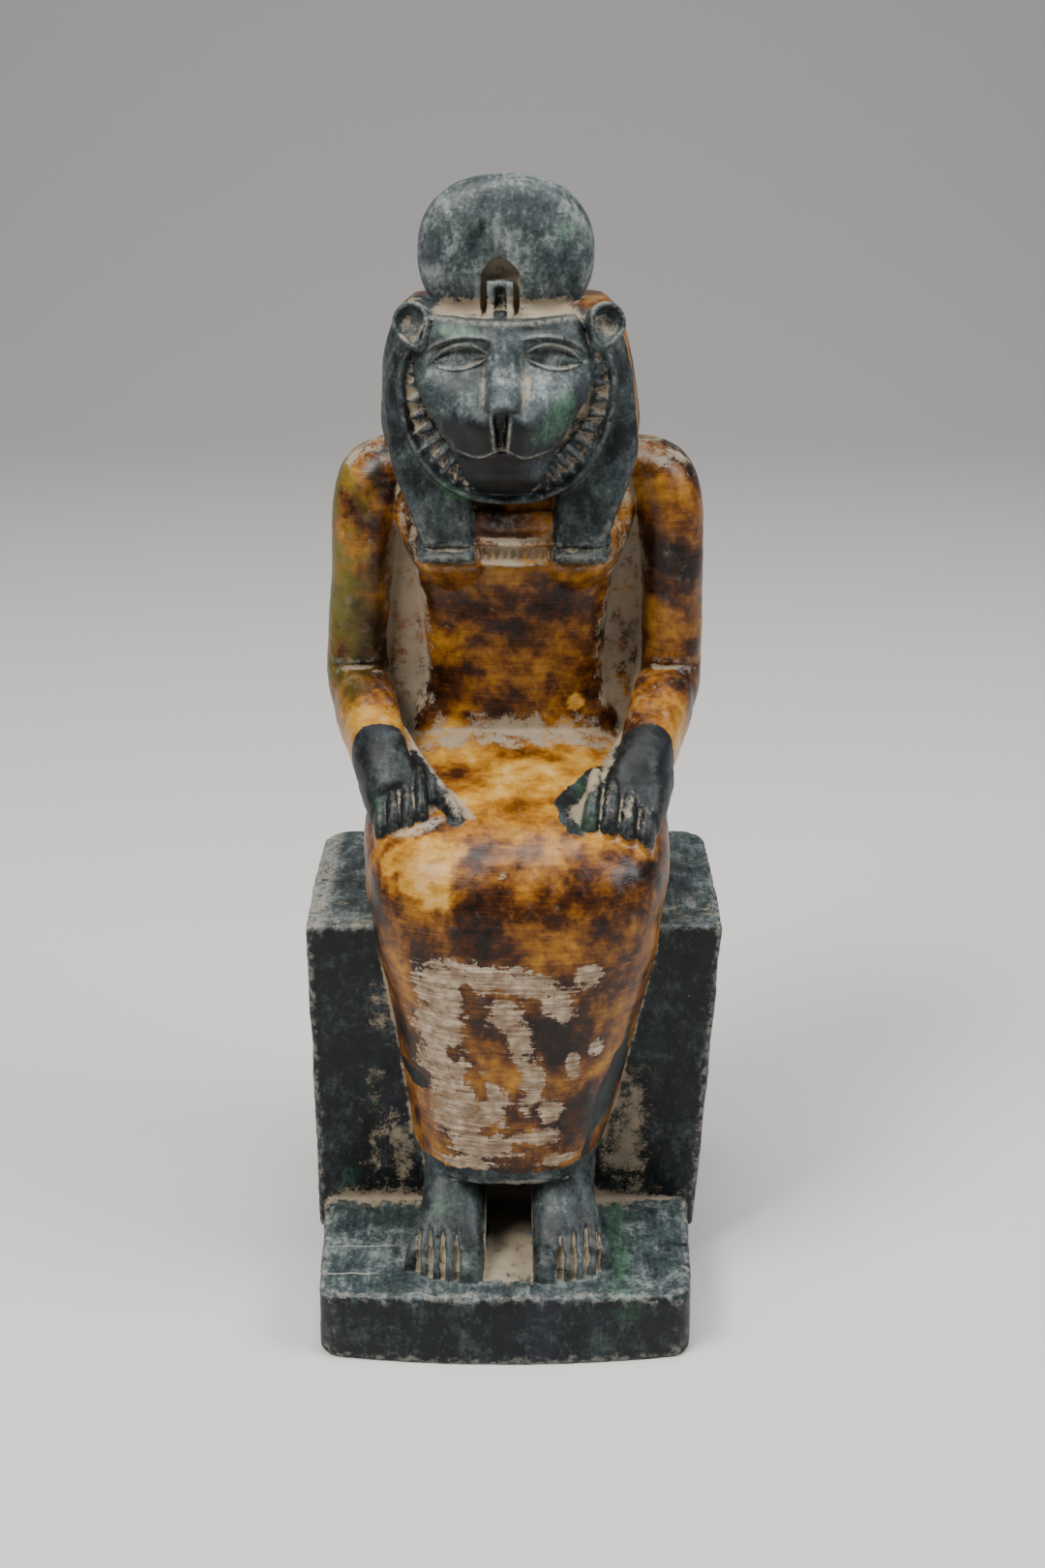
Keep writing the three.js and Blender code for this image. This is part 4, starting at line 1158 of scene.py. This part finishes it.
def mark_finish(statue):
    """Writes where each finish lies: green is dark green paint and the rest is brown varnish; bare
    is worn to the stone; pale is thin orange varnish; dusty holds a film of dust; leaf is a brighter
    green; edge is how far sharp edges are worn; olive is yellow green over the brown; light is how
    pale the green is, with painted light on level tops and the face and painted shade on upright
    sides, the muzzle and the stump's slit; rubbed is worn lines and chips."""
    mesh = statue.data
    p, normal = points_of(mesh)
    leaf = [strength * ellipse(p, (x, z), size, turn) for x, z, *size, turn, strength in LEAF]
    put(mesh, "green", green_paint(p))
    put(mesh, "bare", bare_stone(p))
    put(mesh, "pale", thin_varnish(p))
    put(mesh, "dusty", settled_dust(p, normal))
    put(mesh, "leaf", np.clip(np.maximum.reduce(leaf), 0, 1))
    put(mesh, "edge", worn_edges(p))
    put(mesh, "olive", np.clip(ellipse(p, (-49, 198), (17, 52)) * 1.7, 0, 1))
    # Painted light on level tops and the face, painted shade on upright sides, the muzzle and the stump's
    # slit, with the green's own tone.
    put(mesh, "light", green_tone_and_painted_light(p, normal))
    put(mesh, "rubbed", rubbed_lines(p))


# Shader groups

class Nodes:
    """Short calls for making and joining nodes in one tree."""

    def __init__(self, tree):
        self.tree = tree

    def add(self, kind, values=None, **inputs):
        """A new node with its own values and its inputs, which are named with _ for a space, or
        numbered after a _. An input is an output to join or a value to set."""
        node = self.tree.nodes.new(kind)
        for name, value in (values or {}).items():
            setattr(node, name, value)
        for name, value in inputs.items():
            key = int(name[1:]) if name[0] == "_" else name.replace("_", " ")
            self.feed(node.inputs[key], value)
        return node

    def feed(self, socket, value):
        if isinstance(value, bpy.types.NodeSocket):
            self.tree.links.new(value, socket)
        else:
            socket.default_value = value

    def math(self, operation, a, b=0.0, clamp=False):
        values = {"operation": operation, "use_clamp": clamp}
        return self.add("ShaderNodeMath", values, _0=a, _1=b).outputs[0]

    def sum(self, *terms):
        """All terms added. A term may be a pair: an output and what it is multiplied by."""
        total = None
        for term in terms:
            value = self.math("MULTIPLY", *term) if isinstance(term, tuple) else term
            total = value if total is None else self.math("ADD", total, value)
        return total

    def swing(self, value, amount, middle=0.5):
        """How far a value is from its middle, times an amount."""
        return self.math("MULTIPLY", self.math("SUBTRACT", value, middle), amount)

    def mix(self, factor, a, b):
        """Colour a at factor 0 and colour b at factor 1."""
        node = self.add("ShaderNodeMix", {"data_type": "RGBA"})
        self.feed(node.inputs[0], factor)
        self.feed(node.inputs[6], a)
        self.feed(node.inputs[7], b)
        return node.outputs[2]

    def between(self, value, low, high):
        """Smooth rise from 0 at low to 1 at high."""
        node = self.add("ShaderNodeMapRange", {"interpolation_type": "SMOOTHSTEP"}, Value=value)
        node.inputs["From Min"].default_value = low
        node.inputs["From Max"].default_value = high
        return node.outputs[0]

    def noise(self, vector, scale, detail=4.0, roughness=0.55, distortion=0.0):
        return self.add("ShaderNodeTexNoise", None, Vector=vector, Scale=scale, Detail=detail,
                        Roughness=roughness, Distortion=distortion).outputs[0]

    def stretch(self, vector, scale):
        return self.add("ShaderNodeMapping", None, Vector=vector, Scale=scale).outputs[0]

    def attribute(self, name):
        return self.add("ShaderNodeAttribute", {"attribute_name": name}).outputs["Fac"]

    def group(self, tree, **inputs):
        return self.add("ShaderNodeGroup", {"node_tree": tree}, **inputs).outputs


FLOAT, VECTOR, COLOUR = "NodeSocketFloat", "NodeSocketVector", "NodeSocketColor"


def new_group(name, inputs, outputs):
    """A node group with named sockets: its tree, the short calls for it, and what it is given."""
    tree = bpy.data.node_groups.new(name, "ShaderNodeTree")
    for way, sockets in (("INPUT", inputs), ("OUTPUT", outputs)):
        for socket, kind in sockets.items():
            tree.interface.new_socket(name=socket, in_out=way, socket_type=kind)
    n = Nodes(tree)
    return tree, n, n.add("NodeGroupInput").outputs


def group_strokes():
    """Fine level sanding strokes: noise drawn out along x and y and tight in z, at two lengths."""
    tree, n, given = new_group("sanding_strokes", {"Place": VECTOR}, {"Strokes": FLOAT})
    fine = n.noise(n.stretch(given["Place"], (110, 110, 1900)), 1.0, 3.0, 0.6)
    long = n.noise(n.stretch(given["Place"], (45, 45, 900)), 1.0, 3.0, 0.6)
    n.add("NodeGroupOutput", None, Strokes=n.sum((fine, 0.6), (long, 0.4)))
    return tree


def group_dust():
    """Dust: gathers in hollows and on marked places, broken up by noise; puts out a mask and its
    colour."""
    inputs = {"Place": VECTOR, "Hollow": FLOAT, "Deep": FLOAT, "Marked": FLOAT}
    tree, n, given = new_group("settled_dust", inputs, {"Mask": FLOAT, "Colour": COLOUR})
    cloud = n.noise(given["Place"], 210.0, 5.0, 0.65)
    grain = n.noise(given["Place"], 1500.0, 3.0, 0.7)
    gathered = n.sum(n.between(given["Hollow"], 0.04, 0.3), n.between(given["Deep"], 0.5, 2.2))
    broken = n.sum((gathered, 0.62), given["Marked"], n.swing(cloud, 2.2), n.swing(grain, 1.1))
    colour = n.mix(cloud, (0.19, 0.145, 0.09, 1), (0.36, 0.3, 0.215, 1))
    n.add("NodeGroupOutput", None, Mask=n.between(broken, 0.4, 0.85), Colour=colour)
    return tree


def group_wear():
    """Worn edges: the sharp places of the skin, broken by noise."""
    inputs = {"Place": VECTOR, "Hollow": FLOAT, "Amount": FLOAT}
    tree, n, given = new_group("worn_edges", inputs, {"Mask": FLOAT})
    sharp = n.between(n.math("MULTIPLY", given["Hollow"], -1.0), 0.02, 0.11)
    broken = n.noise(given["Place"], 420.0, 5.0, 0.7)
    mask = n.math("MULTIPLY", sharp, n.between(broken, 0.44, 0.6))
    n.add("NodeGroupOutput", None, Mask=n.math("MULTIPLY", mask, given["Amount"], clamp=True))
    return tree


def group_scratch():
    """Two thin level scratches in the paint at the left of the plinth's top."""
    tree, n, given = new_group("plinth_scratches", {"Place": VECTOR}, {"Mask": FLOAT})
    part = n.add("ShaderNodeSeparateXYZ", None, Vector=given["Place"]).outputs
    bent = n.sum(part["Y"], (n.noise(given["Place"], 70.0, 2.0), 0.002))
    masks = []
    for y, left, right in SCRATCHES:
        near = n.math("ABSOLUTE", n.math("SUBTRACT", bent, (y + CENTRING[1]) * MM + 0.001))
        line = n.math("SUBTRACT", 1.0, n.between(near, 0.00012, 0.0003))
        start, end = (left + CENTRING[0]) * MM, (right + CENTRING[0]) * MM
        begun = n.between(part["X"], start, start + 0.003)
        ended = n.between(part["X"], end - 0.003, end)
        run = n.math("MULTIPLY", begun, n.math("SUBTRACT", 1.0, ended))
        masks.append(n.math("MULTIPLY", line, run))
    above = n.between(part["Z"], 0.0182, 0.0186)
    top = n.math("MULTIPLY", above, n.math("LESS_THAN", part["Z"], 0.0196))
    n.add("NodeGroupOutput", None, Mask=n.math("MULTIPLY", n.math("MAXIMUM", *masks), top))
    return tree


# Brown varnish from dark to pale: place on the ramp, colour
VARNISH = [
    (0.36, (0.008, 0.003, 0.0012, 1)), (0.45, (0.048, 0.0125, 0.0015, 1)),
    (0.53, (0.155, 0.052, 0.004, 1)), (0.62, (0.3, 0.125, 0.01, 1)),
    (0.72, (0.44, 0.23, 0.035, 1)), (0.86, (0.56, 0.37, 0.16, 1)),
]


def varnish(n, place, strokes, small):
    """Brown varnish: amber and dark blotches, paler where thin, olive on one arm."""
    blotch = n.noise(place, 58.0, 6.0, 0.62, 0.2)
    tone = n.sum((blotch, 0.72), (small, 0.28), n.swing(strokes, 0.16))
    tone = n.sum(n.swing(tone, 1.35), 0.49, (n.attribute("pale"), 0.25))
    ramp = n.add("ShaderNodeValToRGB", None, Fac=tone)
    first, last = ramp.color_ramp.elements
    first.position, first.color = VARNISH[0]
    last.position, last.color = VARNISH[-1]
    for position, colour in VARNISH[1:-1]:
        ramp.color_ramp.elements.new(position).color = colour
    patchy = n.between(n.noise(place, 85.0, 4.0, 0.6), 0.36, 0.56)
    olive = n.math("MULTIPLY", n.attribute("olive"), patchy)
    return n.mix(n.math("MULTIPLY", olive, 0.85), ramp.outputs[0], (0.1, 0.09, 0.008, 1))


def stone(n, place, strokes):
    """Bare stone: grey and tan, darker between the sanding strokes, and the ragged mask of the
    places where the varnish is worn off it."""
    patchy = n.between(n.noise(place, 300.0, 5.0, 0.6), 0.35, 0.68)
    pale = n.mix(patchy, (0.27, 0.195, 0.13, 1), (0.55, 0.44, 0.32, 1))
    colour = n.mix(n.between(strokes, 0.42, 0.6), n.mix(0.6, pale, (0.12, 0.055, 0.018, 1)), pale)
    tatters = n.noise(n.stretch(place, (270, 270, 430)), 1.0, 9.0, 0.76, 0.3)
    ragged = n.sum(n.attribute("bare"), n.swing(tatters, 4.3), n.swing(strokes, 1.6))
    return colour, n.between(ragged, 0.12, 0.24)


def green(n, place, mottle, fleck):
    """Dark green paint, made paler and darker by painted light and shade from the light attribute (paler on
    level tops and the face, darker on upright sides, the muzzle and the stump's slit), with streaks, flecks
    and brighter green.
    """
    streak = n.noise(n.stretch(place, (500, 90, 220)), 1.0, 5.0, 0.7)
    # The light attribute brings painted light and painted shade into the paint's tone.
    shade = n.sum((mottle, 0.5), (fleck, 0.26), (streak, 0.24), (n.attribute("light"), 0.085))
    paint = n.mix(n.between(shade, 0.42, 0.56), (0.0035, 0.005, 0.0055, 1), (0.036, 0.05, 0.05, 1))
    paint = n.mix(n.between(shade, 0.53, 0.68), paint, (0.21, 0.235, 0.225, 1))
    violet = n.between(n.noise(place, 60.0, 3.0, 0.5), 0.56, 0.72)
    paint = n.mix(n.math("MULTIPLY", violet, 0.25), paint, (0.03, 0.028, 0.055, 1))
    leaf = n.sum(n.attribute("leaf"), n.swing(n.noise(place, 130.0, 6.0, 0.7), 1.4, 0.55))
    leafy = n.mix(n.between(shade, 0.42, 0.62), (0.008, 0.03, 0.018, 1), (0.085, 0.17, 0.11, 1))
    return n.mix(n.math("MULTIPLY", n.between(leaf, 0.12, 0.6), 0.85), paint, leafy)


def painted_stone():
    """The finish: brown varnish and dark green paint over grey-tan stone, with wear and dust, and painted
    light and shade in the green.
    """
    material = bpy.data.materials.new("painted_stone")
    material.use_nodes = True
    tree = material.node_tree
    tree.nodes.clear()
    n = Nodes(tree)
    place = n.add("ShaderNodeTexCoord").outputs["Object"]
    strokes = n.group(group_strokes(), Place=place)["Strokes"]
    small = n.noise(place, 190.0, 5.0, 0.65, 0.4)
    mottle = n.noise(place, 85.0, 7.0, 0.72, 0.4)
    fleck = n.noise(place, 900.0, 4.0, 0.75)
    hollow = n.attribute("hollow")

    bare, worn = stone(n, place, strokes)
    body = n.mix(worn, varnish(n, place, strokes, small), bare)
    border = n.sum(n.attribute("green"), n.swing(n.noise(place, 420.0, 4.0, 0.6), 0.5))
    painted = n.between(border, 0.4, 0.6)
    colour = n.mix(painted, body, green(n, place, mottle, fleck))

    wear = n.group(group_wear(), Place=place, Hollow=hollow, Amount=n.attribute("edge"))["Mask"]
    scratch = n.group(group_scratch(), Place=place)["Mask"]
    grain = n.between(n.noise(place, 700.0, 3.0, 0.7), 0.34, 0.56)
    rubbed = n.math("MULTIPLY", n.math("MULTIPLY", n.attribute("rubbed"), grain), 0.75)
    wear = n.math("MAXIMUM", n.math("MAXIMUM", wear, scratch), rubbed)
    colour = n.mix(wear, colour, (0.3, 0.29, 0.25, 1))
    dust = n.group(group_dust(), Place=place, Hollow=hollow, Deep=n.attribute("deep"),
                   Marked=n.attribute("dusty"))
    colour = n.mix(n.math("MULTIPLY", dust["Mask"], 0.9), colour, dust["Colour"])

    bare_here = n.math("MULTIPLY", worn, n.math("SUBTRACT", 1.0, painted))
    matt = n.math("MAXIMUM", n.math("MAXIMUM", dust["Mask"], wear), bare_here)
    gloss = n.sum(0.22, (small, 0.25), (painted, 0.14))
    roughness = n.math("ADD", gloss, n.math("MULTIPLY", matt, 0.4), clamp=True)
    height = n.sum((strokes, 0.5), (fleck, 0.3), (n.math("MULTIPLY", mottle, painted), 0.8))
    height = n.math("SUBTRACT", height, n.math("MULTIPLY", worn, 0.25))
    relief = n.add("ShaderNodeBump", None, Strength=0.4, Distance=0.0005, Height=height).outputs[0]
    shader = n.add("ShaderNodeBsdfPrincipled", None, Base_Color=colour, Roughness=roughness,
                   Normal=relief, Specular_IOR_Level=0.3)
    n.add("ShaderNodeOutputMaterial", None, Surface=shader.outputs[0])
    return material


# Floor, light and camera

def linked(name, data):
    """An object of the scene for a mesh, lamp or camera."""
    thing = bpy.data.objects.new(name, data)
    bpy.context.scene.collection.objects.link(thing)
    return thing


def pale_floor():
    """A pale floor that sweeps up behind: level, a quarter turn of 0.9 m, upright."""
    turn = np.radians(np.linspace(0, 90, 24))
    depth = np.concatenate([[-3.0], 1.2 + 0.9 * np.sin(turn), [2.1]])
    height = np.concatenate([[0.0], 0.9 * (1 - np.cos(turn)), [4.0]])
    points = [(x, y, z) for y, z in zip(depth, height) for x in (-4.0, 4.0)]
    faces = [(2 * i, 2 * i + 1, 2 * i + 3, 2 * i + 2) for i in range(len(depth) - 1)]
    mesh = bpy.data.meshes.new("floor")
    mesh.from_pydata(points, [], faces)
    mesh.shade_smooth()
    finish = bpy.data.materials.new("pale_floor")
    finish.use_nodes = True
    shader = finish.node_tree.nodes["Principled BSDF"]
    shader.inputs["Base Color"].default_value = (0.62, 0.61, 0.59, 1)
    shader.inputs["Roughness"].default_value = 0.7
    mesh.materials.append(finish)
    linked("floor", mesh)


# Lamps: name, place, size, power, colour
LAMPS = [
    ("key_light", (-0.62, -0.5, 1.15), 0.5, 20.0, (1.0, 0.98, 0.95)),
    ("side_light", (0.85, -0.25, 0.95), 0.5, 12.0, (0.95, 0.97, 1.0)),
    ("top_light", (0.0, 0.05, 1.25), 0.5, 10.0, (1.0, 1.0, 1.0)),
]
AIM = np.array([0, 0, 0.15])


def studio_light():
    """A dim cool room and three soft square lamps turned to the middle of the statue."""
    world = bpy.data.worlds.new("soft_room")
    world.use_nodes = True
    room = world.node_tree.nodes["Background"]
    room.inputs[0].default_value = (0.9, 0.93, 1.0, 1)
    room.inputs[1].default_value = 0.16
    bpy.context.scene.world = world
    for name, place, size, power, colour in LAMPS:
        lamp = bpy.data.lights.new(name, "AREA")
        lamp.size, lamp.energy, lamp.color = size, power, colour
        holder = linked(name, lamp)
        holder.location = place
        x, y, z = AIM - np.array(place)
        holder.rotation_euler = (math.atan2(math.hypot(x, y), -z), 0, math.atan2(y, x) - math.pi / 2)


def camera():
    """The camera at the photograph's viewing angle: 20 degrees above level."""
    lens = bpy.data.cameras.new("camera")
    lens.sensor_width, lens.lens = 36.0, 36.0 * 2200 / 1620
    holder = linked("camera", lens)
    holder.location = (np.array([4.6, -546.2, 339.85]) + CENTRING) * MM
    holder.rotation_euler = (math.radians(70), 0, 0)
    bpy.context.scene.camera = holder


pale_floor()
studio_light()
camera()
statue = carve()
refine_face(statue)
cut_relief(statue)
mark_hollows(statue)
thin_out(statue)
mark_finish(statue)
statue.data.materials.clear()
statue.data.materials.append(painted_stone())
statue.data.shade_smooth()
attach(statue, "root")
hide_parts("statue")
